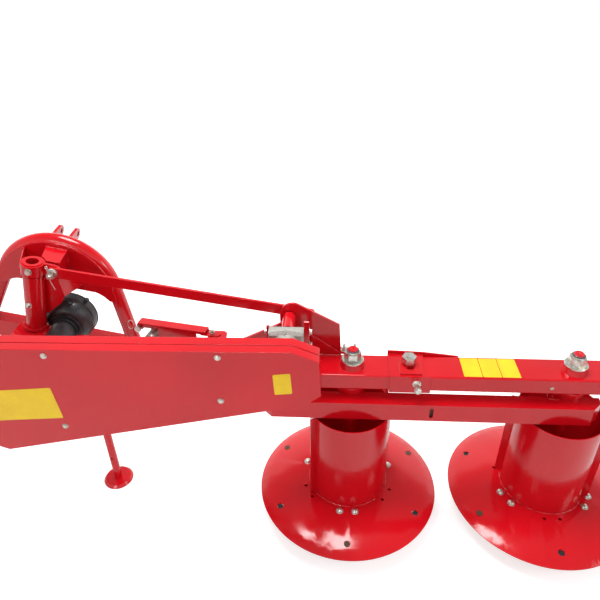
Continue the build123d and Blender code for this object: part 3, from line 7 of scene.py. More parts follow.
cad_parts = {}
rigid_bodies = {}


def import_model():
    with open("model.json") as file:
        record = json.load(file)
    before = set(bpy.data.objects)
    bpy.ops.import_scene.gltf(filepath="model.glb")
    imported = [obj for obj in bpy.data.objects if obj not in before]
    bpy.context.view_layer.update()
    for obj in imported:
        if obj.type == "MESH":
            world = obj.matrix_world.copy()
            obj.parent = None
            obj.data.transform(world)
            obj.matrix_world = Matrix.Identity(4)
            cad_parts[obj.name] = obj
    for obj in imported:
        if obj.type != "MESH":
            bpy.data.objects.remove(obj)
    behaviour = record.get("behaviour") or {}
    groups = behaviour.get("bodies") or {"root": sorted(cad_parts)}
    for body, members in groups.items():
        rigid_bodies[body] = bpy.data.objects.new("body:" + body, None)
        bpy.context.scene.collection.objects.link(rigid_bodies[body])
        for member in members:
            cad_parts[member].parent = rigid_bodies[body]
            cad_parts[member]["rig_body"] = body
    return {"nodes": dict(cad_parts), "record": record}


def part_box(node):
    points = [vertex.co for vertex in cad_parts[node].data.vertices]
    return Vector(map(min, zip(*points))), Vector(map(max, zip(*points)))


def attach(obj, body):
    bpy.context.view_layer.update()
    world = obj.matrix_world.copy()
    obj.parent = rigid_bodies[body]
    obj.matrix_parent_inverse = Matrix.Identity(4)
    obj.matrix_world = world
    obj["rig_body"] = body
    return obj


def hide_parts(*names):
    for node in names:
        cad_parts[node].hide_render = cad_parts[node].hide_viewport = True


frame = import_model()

bl_info = {
    "name": "Twin-drum mower",
    "version": (1, 0, 0),
    "blender": (4, 5, 0),
    "location": "3D View > Sidebar > Mower",
    "description": "Fittings, welds, finishes and stage of a twin-drum mower",
    "category": "Add Mesh",
}

MM = 0.001
NODES = frame["nodes"]
SLOT_OF = {part["node"]: part["material_slot"] for part in frame["record"]["subparts"]}
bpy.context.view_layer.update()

# Places on the machine, in metres
DRUM_AXLES = {
    "inner": 0.0,
    "outer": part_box("outer_disc")[0][0] / 2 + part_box("outer_disc")[1][0] / 2,
}
DISC_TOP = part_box("inner_disc")[1][2]
DRUM_RADIUS = 0.158
BEAM_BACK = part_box("upper_beam")[0][1]
BEAM_TOP = 0.729
LID_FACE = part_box("belt_guard_lid")[0][1]
NUT_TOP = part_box("axle_nuts")[1][2]
HINGE = Vector((-0.233, 0.0, 0.897))
KING_POST = Matrix.Translation((-1.155, 0.09, 1.097)) @ Matrix.Rotation(radians(11.8), 4, "Y")
ARCH_CENTRE = Vector((0.034, 0.153, -0.210))
ARCH_RADIUS = 0.220
WEB_LAP = 0.007
SKIN = 0.0001       # Clearance under a sign, so that it doesn't flicker in the plate

# The photograph's view
CAMERA_PLACE = Vector((-0.0833, -1.6444, 2.0589))
CAMERA_RIGHT = Vector((0.998373, 0.055121, -0.014596))
CAMERA_UP = Vector((-0.017353, 0.537529, 0.843067))
CAMERA_LENS = 34.04
CAMERA_SENSOR = 36.0


# Finishes
def linear(code):
    """A hex colour as linear RGBA."""
    parts = [int(code[i:i + 2], 16) / 255 for i in (0, 2, 4)]
    return [c / 12.92 if c <= 0.04045 else ((c + 0.055) / 1.055) ** 2.4 for c in parts] + [1.0]


def add_node(tree, kind, inputs=None, **settings):
    """Add a shader node with its settings, values and links."""
    new = tree.nodes.new(kind)
    for name, value in settings.items():
        setattr(new, name, value)
    for name, value in (inputs or {}).items():
        if isinstance(value, bpy.types.NodeSocket):
            tree.links.new(value, new.inputs[name])
        else:
            new.inputs[name].default_value = value
    return new


def grain(tree, size_mm, detail=3.0, stretch=(1, 1, 1)):
    """Noise on object coordinates whose features are size_mm across."""
    place = add_node(tree, "ShaderNodeTexCoord").outputs["Object"]
    turned_place = add_node(tree, "ShaderNodeMapping", {"Vector": place, "Scale": stretch})
    scale = 1 / (size_mm * MM)
    noise = {"Vector": turned_place.outputs[0], "Scale": scale, "Detail": detail, "Roughness": 0.55}
    return add_node(tree, "ShaderNodeTexNoise", noise).outputs[0]


def between(tree, factor, low, high, start=0.35, end=0.65):
    """Carry a noise value to a range of numbers."""
    values = {"Value": factor, "From Min": start, "From Max": end, "To Min": low, "To Max": high}
    return add_node(tree, "ShaderNodeMapRange", values).outputs[0]


def blended(tree, factor, first, second):
    """Mix two colours, given as hex codes or sockets."""
    first = linear(first) if isinstance(first, str) else first
    second = linear(second) if isinstance(second, str) else second
    mix = add_node(tree, "ShaderNodeMix", {0: factor, 6: first, 7: second}, data_type="RGBA")
    return mix.outputs[2]


def bumped(tree, height, depth_mm, strength=1.0):
    """Normals from a height pattern."""
    values = {"Height": height, "Distance": depth_mm * MM, "Strength": strength}
    return add_node(tree, "ShaderNodeBump", values).outputs[0]


def sprayed_enamel(tree):
    # Gloss enamel, sprayed on sheet steel: even red with slow drifts of shade and a faint
    # orange peel of 5 mm, smooth enough to mirror the next plate in it
    shade = between(tree, grain(tree, 420, 2.0), 0.0, 1.0)
    colours = bpy.context.scene.mower_colours
    drift = blended(tree, shade, colours.paint_deep, colours.paint)
    dust = between(tree, grain(tree, 2.2, 5.0), 0.0, 0.07, 0.62, 0.78)
    return {
        "Base Color": blended(tree, dust, drift, "D2525A"),
        "Roughness": between(tree, grain(tree, 70), 0.10, 0.17),
        "Normal": bumped(tree, grain(tree, 5, 2.0), 0.02, 0.25),
        "IOR": 1.5,
    }


def zinc_plate(tree):
    # Bright zinc, electroplated on steel: pale metal with slightly yellow clouds of
    # 14 mm and a fine grain that blurs the highlights
    cloud = between(tree, grain(tree, 14), 0.0, 1.0)
    return {
        "Base Color": blended(tree, cloud, "D6D7D6", "BDB7A6"),
        "Metallic": 1.0,
        "Roughness": between(tree, grain(tree, 4, 4.0), 0.24, 0.42),
        "Normal": bumped(tree, grain(tree, 1.2, 4.0), 0.06, 0.5),
    }


def turned_steel(tree):
    # Mild steel, turned and ground: grey metal with fine rings of the tool along its
    # length, drawn 1.5 mm apart so that they show, and thin brown staining
    rings = grain(tree, 1.5, 2.0, (0.15, 0.15, 1.0))
    stain = between(tree, grain(tree, 45, 4.0), 0.0, 0.55, 0.45, 0.75)
    return {
        "Base Color": blended(tree, stain, "A09D98", "6E5A4A"),
        "Metallic": 0.95,
        "Roughness": between(tree, grain(tree, 9, 3.0), 0.30, 0.48),
        "Normal": bumped(tree, rings, 0.05, 0.6),
    }


def sand_cast_aluminium(tree):
    # Aluminium, sand cast and left raw: pale grey, pitted by sand grains of 2 mm, with
    # darker pores that keep it dull
    sand = grain(tree, 2.0, 5.0)
    pores = between(tree, grain(tree, 5, 5.0), 0.0, 0.8, 0.5, 0.72)
    return {
        "Base Color": blended(tree, pores, "B4B2AB", "7C7A73"),
        "Metallic": 0.55,
        "Roughness": between(tree, sand, 0.5, 0.68),
        "Normal": bumped(tree, sand, 0.35, 0.9),
    }


def moulded_polyethylene(tree):
    # Polyethylene, blow moulded: black with a faint leather grain of 1.5 mm that gives
    # wide soft highlights, greyer where handling has scuffed it
    scuff = between(tree, grain(tree, 30, 6.0), 0.0, 0.7, 0.5, 0.8)
    return {
        "Base Color": blended(tree, scuff, "26282A", "45484B"),
        "Roughness": between(tree, grain(tree, 20), 0.30, 0.45),
        "Normal": bumped(tree, grain(tree, 1.5, 3.0), 0.06, 0.4),
        "IOR": 1.5,
    }


def printed_vinyl(tree):
    # Vinyl film, plain: strong yellow with a slight ripple of 25 mm from its glue
    return {
        "Base Color": blended(tree, between(tree, grain(tree, 60), 0.0, 1.0), "F0C80F", "E6BC0B"),
        "Roughness": between(tree, grain(tree, 18), 0.28, 0.38),
        "Normal": bumped(tree, grain(tree, 25, 2.0), 0.08, 0.4),
        "IOR": 1.46,
    }


def turned_nylon(tree):
    # Nylon, the pressed-in locking ring of a nut: blue-grey and slightly waxy
    return {
        "Base Color": blended(tree, between(tree, grain(tree, 6), 0.0, 1.0), "3E4450", "4E545E"),
        "Roughness": between(tree, grain(tree, 3), 0.35, 0.5),
        "Normal": bumped(tree, grain(tree, 1.5), 0.04, 0.4),
        "IOR": 1.53,
    }


def rusted_steel(tree):
    # Mild steel, left bare out of doors: brown bloom of 5 mm over dull grey, quite rough
    bloom = between(tree, grain(tree, 5, 5.0), 0.0, 1.0)
    return {
        "Base Color": blended(tree, bloom, "4A3A30", "6B4A34"),
        "Metallic": 0.4,
        "Roughness": between(tree, grain(tree, 3, 4.0), 0.5, 0.75),
        "Normal": bumped(tree, grain(tree, 2, 4.0), 0.15, 0.6),
    }


def spring_wire(tree):
    # Patented spring wire, cold drawn and zinc dipped: pale, with draw marks along it
    return {
        "Base Color": blended(tree, between(tree, grain(tree, 6), 0.0, 1.0), "D9D9D4", "A9A79E"),
        "Metallic": 0.9,
        "Roughness": between(tree, grain(tree, 3), 0.28, 0.42),
        "Normal": bumped(tree, grain(tree, 1.2), 0.05, 0.4),
    }


FINISHES = {
    # slot or finish: name of the material, its nodes, slot of the record that a piece names
    "red_paint": ("enamel_sprayed_red", sprayed_enamel, "red_paint"),
    "zinc_steel": ("zinc_electroplated", zinc_plate, "zinc_steel"),
    "bare_steel": ("mild_steel_turned", turned_steel, "bare_steel"),
    "cast_aluminium": ("aluminium_sand_cast", sand_cast_aluminium, "cast_aluminium"),
    "black_plastic": ("polyethylene_moulded", moulded_polyethylene, "black_plastic"),
    "yellow_vinyl": ("vinyl_film_yellow", printed_vinyl, None),
    "grey_nylon": ("nylon_pressed", turned_nylon, "zinc_steel"),
    "spring_wire": ("spring_wire_drawn", spring_wire, "zinc_steel"),
    "brown_steel": ("steel_rusted", rusted_steel, "bare_steel"),
}


def material(finish):
    """The material of a finish, made at its first use."""
    name, build, _ = FINISHES[finish]
    if name in bpy.data.materials:
        return bpy.data.materials[name]
    made = bpy.data.materials.new(name)
    made.use_nodes = True
    tree = made.node_tree
    tree.nodes.clear()
    shader = add_node(tree, "ShaderNodeBsdfPrincipled", build(tree))
    add_node(tree, "ShaderNodeOutputMaterial", {"Surface": shader.outputs[0]})
    return made


# Modelling
SHARP_ANGLE = 32    # Degrees between two faces from which their edge stays sharp


def start_fresh():
    """Leave edit mode and deselect everything."""
    if bpy.context.object and bpy.context.object.mode != "OBJECT":
        bpy.ops.object.mode_set(mode="OBJECT")
    bpy.ops.object.select_all(action="DESELECT")


def pick(piece):
    """Select one piece only and make it active."""
    start_fresh()
    piece.select_set(True)
    bpy.context.view_layer.objects.active = piece


def settle(piece, place=Matrix()):
    """Move a piece to its place and apply that, so that its object stays at the origin."""
    piece.matrix_world = place @ piece.matrix_world
    pick(piece)
    bpy.ops.object.transform_apply(location=True, rotation=True, scale=True)
    return piece


def joined(pieces, name):
    """Join pieces into one."""
    start_fresh()
    for piece in pieces:
        piece.select_set(True)
    bpy.context.view_layer.objects.active = pieces[0]
    if len(pieces) > 1:
        bpy.ops.object.join()
    pieces[0].name = name
    return pieces[0]


def repeated(master, places, name):
    """Copy a piece to each place, each copy with its own mesh, and join them."""
    copies = []
    for place in places:
        twin = master.copy()
        twin.data = master.data.copy()
        bpy.context.collection.objects.link(twin)
        copies.append(settle(twin, place))
    bpy.data.objects.remove(master)
    return joined(copies, name)


def finished(piece, body, finish, angle=SHARP_ANGLE):
    """Smooth a piece, give it its finish and let it ride on its body."""
    pick(piece)
    bpy.ops.object.shade_smooth_by_angle(angle=radians(angle))
    piece.data.materials.clear()
    piece.data.materials.append(material(finish))
    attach(piece, body)
    return piece


def turned(name, profile, segments=24):
    """Extrude a disc through steps of radius and height in millimetres."""
    start_fresh()
    radius, height = profile[0]
    bpy.ops.mesh.primitive_circle_add(
        vertices=segments, radius=radius * MM, fill_type="NGON", location=(0, 0, height * MM)
    )
    piece = bpy.context.object
    piece.name = name
    bpy.ops.object.mode_set(mode="EDIT")
    bpy.ops.mesh.select_all(action="SELECT")
    for wider, higher in profile[1:]:
        rise = (0, 0, (higher - height) * MM)
        bpy.ops.mesh.extrude_region_move(TRANSFORM_OT_translate={"value": rise})
        scale = wider / radius
        bpy.ops.transform.resize(value=(scale, scale, 1), center_override=(0, 0, higher * MM))
        radius, height = wider, higher
    bpy.ops.mesh.select_all(action="SELECT")
    bpy.ops.mesh.normals_make_consistent(inside=False)
    return settle(piece)


# Outline of a button head and its washer: radius and height as shares of the washer's radius
DOME = (
    (1.0, 0), (1.0, 0.1), (0.97, 0.14), (0.8, 0.14), (0.8, 0.3), (0.75, 0.46),
    (0.62, 0.6), (0.42, 0.7), (0.2, 0.74), (0.05, 0.75),
)


def dome_bolt(name, radius):
    """Button head on its washer, along +Z."""
    return turned(name, [(radius * r, radius * z) for r, z in DOME], 20)


# A bolt's thread end, in millimetres: its pitch, and each turn's crest and root above its start
THREAD_PITCH = 1.6
THREAD_CREST = 0.4
THREAD_ROOT = 1.2


def hex_bolt(name, radius, height, washer=1.45, shank=0.0):
    """Hexagon head or nut on its washer, along +Z, with a thread end if it has a shank."""
    low = radius * 0.18
    outside = radius * washer
    flange = turned(name + "_ring", [(outside, 0), (outside, low * 0.8), (outside * 0.96, low)])
    head = turned(
        name,
        [(radius * 0.94, low), (radius, low + radius * 0.06), (radius, low + height - radius * 0.1),
         (radius * 0.9, low + height)],
        6,
    )
    parts = [head, flange]
    if shank:
        thread = [(radius * 0.52, low + height - 1)]
        rise = low + height
        while rise < low + height + shank:
            thread += [(radius * 0.55, rise + THREAD_CREST), (radius * 0.49, rise + THREAD_ROOT)]
            rise += THREAD_PITCH
        parts.append(turned(name + "_thread", thread, 16))
    return joined(parts, name)


def towards(place, direction):
    """Place of a piece whose +Z points in a direction."""
    turn = Vector(direction).to_track_quat("Z", "Y").to_matrix().to_4x4()
    return Matrix.Translation(place) @ turn


def ring(name, place, direction, major, minor, oval=1.0):
    """A wire ring, pulled oval."""
    start_fresh()
    bpy.ops.mesh.primitive_torus_add(
        major_radius=major * MM, minor_radius=minor * MM, major_segments=40, minor_segments=10
    )
    piece = bpy.context.object
    piece.name = name
    bpy.ops.object.mode_set(mode="EDIT")
    bpy.ops.mesh.select_all(action="SELECT")
    bpy.ops.transform.resize(value=(oval, 1, 1))
    return settle(piece, towards(place, direction))


def wire(name, points, radius):
    """Extrude a small disc from point to point."""
    start_fresh()
    points = [Vector(p) for p in points]
    first = towards(points[0], points[1] - points[0])
    bpy.ops.mesh.primitive_circle_add(vertices=10, radius=radius * MM, fill_type="NGON")
    piece = bpy.context.object
    piece.name = name
    settle(piece, first)
    bpy.ops.object.mode_set(mode="EDIT")
    bpy.ops.mesh.select_all(action="SELECT")
    for here, there in zip(points, points[1:]):
        bpy.ops.mesh.extrude_region_move(TRANSFORM_OT_translate={"value": there - here})
    bpy.ops.mesh.select_all(action="SELECT")
    bpy.ops.mesh.normals_make_consistent(inside=False)
    bpy.ops.object.mode_set(mode="OBJECT")
    return piece


def slab(name, corners, thickness, rounding=0.0):
    """A flat plate from four corners, extruded along their normal and eased."""
    start_fresh()
    corners = [Vector(c) for c in corners]
    bpy.ops.mesh.primitive_plane_add(size=1)
    piece = bpy.context.object
    piece.name = name
    for vertex, corner in zip(piece.data.vertices, (corners[0], corners[1], corners[3], corners[2])):
        vertex.co = corner
    normal = (corners[1] - corners[0]).cross(corners[3] - corners[0]).normalized()
    bpy.ops.object.mode_set(mode="EDIT")
    bpy.ops.mesh.select_all(action="SELECT")
    if rounding:
        bpy.ops.mesh.bevel(offset=rounding * MM, segments=4, affect="VERTICES")
        bpy.ops.mesh.select_all(action="SELECT")
    bpy.ops.mesh.extrude_region_move(TRANSFORM_OT_translate={"value": normal * thickness * MM})
    bpy.ops.mesh.select_all(action="SELECT")
    bpy.ops.mesh.normals_make_consistent(inside=False)
    bpy.ops.mesh.bevel(offset=min(0.25 * thickness, 1.0) * MM, segments=1)
    bpy.ops.object.mode_set(mode="OBJECT")
    return piece


# A weld bead's ripples: their length in millimetres, and their depth as a share of its radius
BEAD_RIPPLE = 4
BEAD_ROUGHNESS = 0.3


def weld_bead(start, end, radius, seed):
    """Lay a rippled bead along a straight joint."""
    start, end = Vector(start), Vector(end)
    length = (end - start).length
    start_fresh()
    bpy.ops.mesh.primitive_cylinder_add(vertices=8, radius=radius * MM, depth=length)
    bead = bpy.context.object
    bpy.ops.object.mode_set(mode="EDIT")
    bpy.ops.mesh.select_mode(type="EDGE")
    bpy.ops.mesh.select_all(action="DESELECT")
    bpy.ops.object.mode_set(mode="OBJECT")
    for edge in bead.data.edges:
        low, high = (bead.data.vertices[i].co.z for i in edge.vertices)
        edge.select = abs(high - low) > length / 2
    bpy.ops.object.mode_set(mode="EDIT")
    bpy.ops.mesh.subdivide(number_cuts=max(2, int(length / (BEAD_RIPPLE * MM))))
    bpy.ops.mesh.select_all(action="SELECT")
    bpy.ops.transform.vertex_random(
        offset=radius * BEAD_ROUGHNESS * MM, uniform=0.2, normal=0.8, seed=seed
    )
    bpy.ops.object.mode_set(mode="OBJECT")
    return settle(bead, towards((start + end) / 2, end - start))


def bead_ring(name, major, minor, seed, segments):
    """A rippled bead round a tube, about Z."""
    start_fresh()
    bpy.ops.mesh.primitive_torus_add(
        major_radius=major * MM, minor_radius=minor * MM, major_segments=segments, minor_segments=8
    )
    piece = bpy.context.object
    piece.name = name
    bpy.ops.object.mode_set(mode="EDIT")
    bpy.ops.mesh.select_all(action="SELECT")
    bpy.ops.transform.vertex_random(
        offset=minor * BEAD_ROUGHNESS * MM, uniform=0.2, normal=0.8, seed=seed
    )
    bpy.ops.object.mode_set(mode="OBJECT")
    return piece


def eased(node, width, pulled=0.0):
    """Stand in for a node with a copy that has rounded edges and a front edge pulled back."""
    piece = bpy.data.objects.new(node + "_eased", NODES[node].data.copy())
    bpy.context.collection.objects.link(piece)
    pick(piece)
    bpy.ops.object.mode_set(mode="EDIT")
    bpy.ops.mesh.select_all(action="SELECT")
    bpy.ops.mesh.remove_doubles(threshold=0.00001)
    if pulled:
        bpy.ops.mesh.select_all(action="DESELECT")
        bpy.ops.object.mode_set(mode="OBJECT")
        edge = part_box(node)[1][1]
        for vertex in piece.data.vertices:
            vertex.select = vertex.co.y > edge - 0.0001
        bpy.ops.object.mode_set(mode="EDIT")
        bpy.ops.transform.translate(value=(0, -pulled * MM, 0))
        bpy.ops.mesh.select_all(action="SELECT")
    bpy.ops.mesh.dissolve_limited(angle_limit=radians(0.5))
    bpy.ops.object.mode_set(mode="OBJECT")
    bevel = piece.modifiers.new("ease", "BEVEL")
    bevel.width = width * MM
    bevel.segments = 2
    bevel.limit_method = "ANGLE"
    bevel.angle_limit = radians(SHARP_ANGLE)
    bevel.use_clamp_overlap = True
    bpy.ops.object.modifier_apply(modifier=bevel.name)
    finished(piece, NODES[node]["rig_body"], SLOT_OF[node], 40)
    weighted = piece.modifiers.new("flats", "WEIGHTED_NORMAL")
    weighted.keep_sharp = True
    bpy.ops.object.modifier_apply(modifier=weighted.name)
    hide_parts(node)
    return piece


# Settings that a user would change
PLATE_EDGE = 0.0015


class MOWER_PG_sizes(bpy.types.PropertyGroup):
    disc_bolt: bpy.props.FloatProperty(
        name="Disc bolt", description="Radius of a disc bolt's washer", default=0.0155, unit="LENGTH"
    )
    guard_bolt: bpy.props.FloatProperty(
        name="Guard bolt", description="Radius of a guard bolt's washer", default=0.0105, unit="LENGTH"
    )
    bead: bpy.props.FloatProperty(
        name="Weld bead", description="Radius of a weld bead", default=0.0035, unit="LENGTH"
    )
    edge: bpy.props.FloatProperty(
        name="Plate edge", description="Rounding of a cut plate's edges", default=PLATE_EDGE, unit="LENGTH"
    )


class MOWER_PG_colours(bpy.types.PropertyGroup):
    paint: bpy.props.FloatVectorProperty(
        name="Paint", description="Colour of the enamel", default=linear("CC0E1B"), size=4,
        subtype="COLOR", min=0.0, max=1.0
    )
    paint_deep: bpy.props.FloatVectorProperty(
        name="Deep paint", description="Colour of the enamel where it is thicker", default=linear("BE0B17"),
        size=4, subtype="COLOR", min=0.0, max=1.0
    )


# Operators
class MOWER_OT_finishes(bpy.types.Operator):
    """Give every carried-over node the finish of its slot"""
    bl_idname = "mower.finishes"
    bl_label = "Finishes"

    OWN = {
        "latch_spring": "spring_wire", "inner_drive_sleeve": "red_paint", "outer_drive_sleeve": "red_paint",
        "inner_knife_holders": "brown_steel", "outer_knife_holders": "brown_steel",
        "input_housing": "black_plastic", "cup_bracket": "black_plastic",
    }

    def execute(self, context):
        for node, piece in NODES.items():
            finish = self.OWN.get(node, SLOT_OF[node])
            for index in range(len(piece.material_slots)):
                piece.material_slots[index].material = material(finish)
        return {"FINISHED"}


class MOWER_OT_eased_plates(bpy.types.Operator):
    """Round the edges of the cut and folded plates, castings and tubes"""
    bl_idname = "mower.eased_plates"
    bl_label = "Eased plates"

    EASED = {
        # Node: radius in millimetres
        "belt_guard_lid": 0.9, "belt_guard_box": 0.9, "lower_beam": 1.5, "hinge_plate": 1.3,
        "gearbox_plates": 1.3, "beam_gusset": 1.0, "tension_bar": 1.3, "cover_clamp": 1.0,
        "boom_beam": 1.0, "boom_fork": 1.0, "hitch_bracket": 1.2, "hitch_sleeve": 1.0,
        "arch_webs": 1.2, "top_link_ears": 1.2, "gearbox": 2.2, "kingpin": 1.0,
        "kingpin_collar": 1.0, "latch_channel": 0.6, "upper_beam": 1.2, "leg_socket": 1.0,
        "latch_bracket": 0.8, "hitch_cross_bar": 1.2, "inner_disc": 1.0, "outer_disc": 1.0,
    }
    # The guard's seam, opened so that it shows
    PULLED = {"belt_guard_lid": 2.2}

    def execute(self, context):
        share = context.scene.mower_sizes.edge / PLATE_EDGE
        for node, width in self.EASED.items():
            eased(node, width * share, self.PULLED.get(node, 0.0))
        return {"FINISHED"}


class MOWER_OT_disc_bolts(bpy.types.Operator):
    """Bolt the discs to their drums, three pairs of button heads each"""
    bl_idname = "mower.disc_bolts"
    bl_label = "Disc bolts"

    PAIRS = {"inner": (-91, 29, 149), "outer": (-151, -31, 89)}
    CIRCLE = 0.184
    HALF_ANGLE = 9.4

    def execute(self, context):
        radius = context.scene.mower_sizes.disc_bolt / MM
        for name, pairs in self.PAIRS.items():
            head = dome_bolt("disc_bolt", radius)
            places = []
            for middle in pairs:
                for side in (-1, 1):
                    angle = radians(middle + side * self.HALF_ANGLE)
                    x = DRUM_AXLES[name] + self.CIRCLE * cos(angle)
                    places.append(Matrix.Translation((x, self.CIRCLE * sin(angle), DISC_TOP)))
            bolts = repeated(head, places, name + "_disc_bolts")
            finished(bolts, name + "_drum", "zinc_steel")
        return {"FINISHED"}


class MOWER_OT_shade_bungs(bpy.types.Operator):
    """Black bungs in the pin holes that hold no knife, painted shade for the dark inside the empty holes"""
    bl_idname = "mower.hole_bungs"
    bl_label = "Shade bungs"

    EMPTY = {"inner": (-31, 89, 209), "outer": (-91, 29, 149)}
    CIRCLE = 0.313
    LEVEL = 0.1073
    PROFILE = [(11.8, -11), (11.8, -4.2), (10.8, -3.4), (9.0, -3.4), (8.4, -6.0), (0.5, -6.4)]

    def execute(self, context):
        for name, angles in self.EMPTY.items():
            places = []
            for angle in angles:
                x = DRUM_AXLES[name] + self.CIRCLE * cos(radians(angle))
                places.append(Matrix.Translation((x, self.CIRCLE * sin(radians(angle)), self.LEVEL)))
            # The black bungs are painted shade: they stand for the shaded knife holder seen through each
            # empty hole
            dark_bungs = repeated(turned("dark_bung", self.PROFILE, 24), places, name + "_hole_bungs")
            finished(dark_bungs, name + "_drum", "black_plastic")
        return {"FINISHED"}


class MOWER_OT_drum_welds(bpy.types.Operator):
    """Weld bead round each drum's foot"""
    bl_idname = "mower.drum_welds"
    bl_label = "Drum welds"

    def execute(self, context):
        bead = context.scene.mower_sizes.bead / MM
        for seed, (name, x) in enumerate(DRUM_AXLES.items()):
            weld = bead_ring(name + "_drum_weld", DRUM_RADIUS / MM + bead * 0.4, bead, seed + 1, 220)
            settle(weld, Matrix.Translation((x, 0, DISC_TOP + bead * 0.4 * MM)))
            finished(weld, name + "_drum", "red_paint", 60)
        return {"FINISHED"}


class MOWER_OT_axle_tops(bpy.types.Operator):
    """Painted thread ends and nylon rings on the axle nuts"""
    bl_idname = "mower.axle_tops"
    bl_label = "Axle tops"

    TURNS = 5
    PITCH = 1.8
    END = [(16.0, 8.0), (5.0, 8.3), (3.5, 7.0), (0.6, 5.0)]
    LOCK = [(23.4, -1), (23.2, 0.4), (21.5, 1.0), (18.6, 1.2), (18.4, 0.2)]

    def execute(self, context):
        thread = [(17.9, -2)]
        for turn in range(self.TURNS):
            thread += [(18.4, turn * self.PITCH - 1.5), (17.2, turn * self.PITCH - 0.6)]
        thread += self.END
        places = [Matrix.Translation((x, 0, NUT_TOP)) for x in DRUM_AXLES.values()]
        ends = repeated(turned("thread_end", thread, 32), places, "axle_thread_ends")
        finished(ends, "cutting_unit", "red_paint", 25)
        lock = turned("lock_ring", self.LOCK, 32)
        finished(repeated(lock, places, "axle_nut_rings"), "cutting_unit", "grey_nylon")
        return {"FINISHED"}


class MOWER_OT_guard_bolts(bpy.types.Operator):
    """Button heads that hold the guard's lid"""
    bl_idname = "mower.guard_bolts"
    bl_label = "Guard bolts"

    SPOTS = ((-0.973, 0.975), (-0.975, 0.675), (-0.426, 0.9835), (-0.431, 0.8075))

    def execute(self, context):
        head = dome_bolt("guard_bolt", context.scene.mower_sizes.guard_bolt / MM)
        places = [towards((x, LID_FACE, z), (0, -1, 0)) for x, z in self.SPOTS]
        finished(repeated(head, places, "guard_bolts"), "boom", "zinc_steel")
        return {"FINISHED"}


class MOWER_OT_signs(bpy.types.Operator):
    """Plain yellow signs on the guard and the beam"""
    bl_idname = "mower.signs"
    bl_label = "Signs"

    LARGE = ((-1.270, 0.816), (-1.283, 0.684), (-0.973, 0.712), (-0.986, 0.844))
    SMALL = ((-0.260, 0.921), (-0.256, 0.840), (-0.200, 0.846), (-0.205, 0.9275))
    BEAM_X = (0.397, 0.600)
    BEAM_Y = (-0.053, 0.053)
    PANELS = 3
    HALF_GAP = 0.0012
    THICKNESS = 0.6
    GUARD_CORNER = 5.0
    BEAM_CORNER = 3.0

    def execute(self, context):
        face = LID_FACE - SKIN
        for name, corners in (("guard_sign_large", self.LARGE), ("guard_sign_small", self.SMALL)):
            places = [(x, face, z) for x, z in corners]
            sign = slab(name, places, self.THICKNESS, self.GUARD_CORNER)
            finished(sign, "boom", "yellow_vinyl")
        low, high = self.BEAM_X
        step = (high - low) / self.PANELS
        back, front = self.BEAM_Y
        level = BEAM_TOP + SKIN
        panels = []
        for index in range(self.PANELS):
            left = low + step * index + self.HALF_GAP
            right = low + step * (index + 1) - self.HALF_GAP
            outline = ((left, back), (right, back), (right, front), (left, front))
            corners = [(x, y, level) for x, y in outline]
            panels.append(slab("beam_sign", corners, self.THICKNESS, self.BEAM_CORNER))
        finished(joined(panels, "beam_signs"), "cutting_unit", "yellow_vinyl")
        return {"FINISHED"}


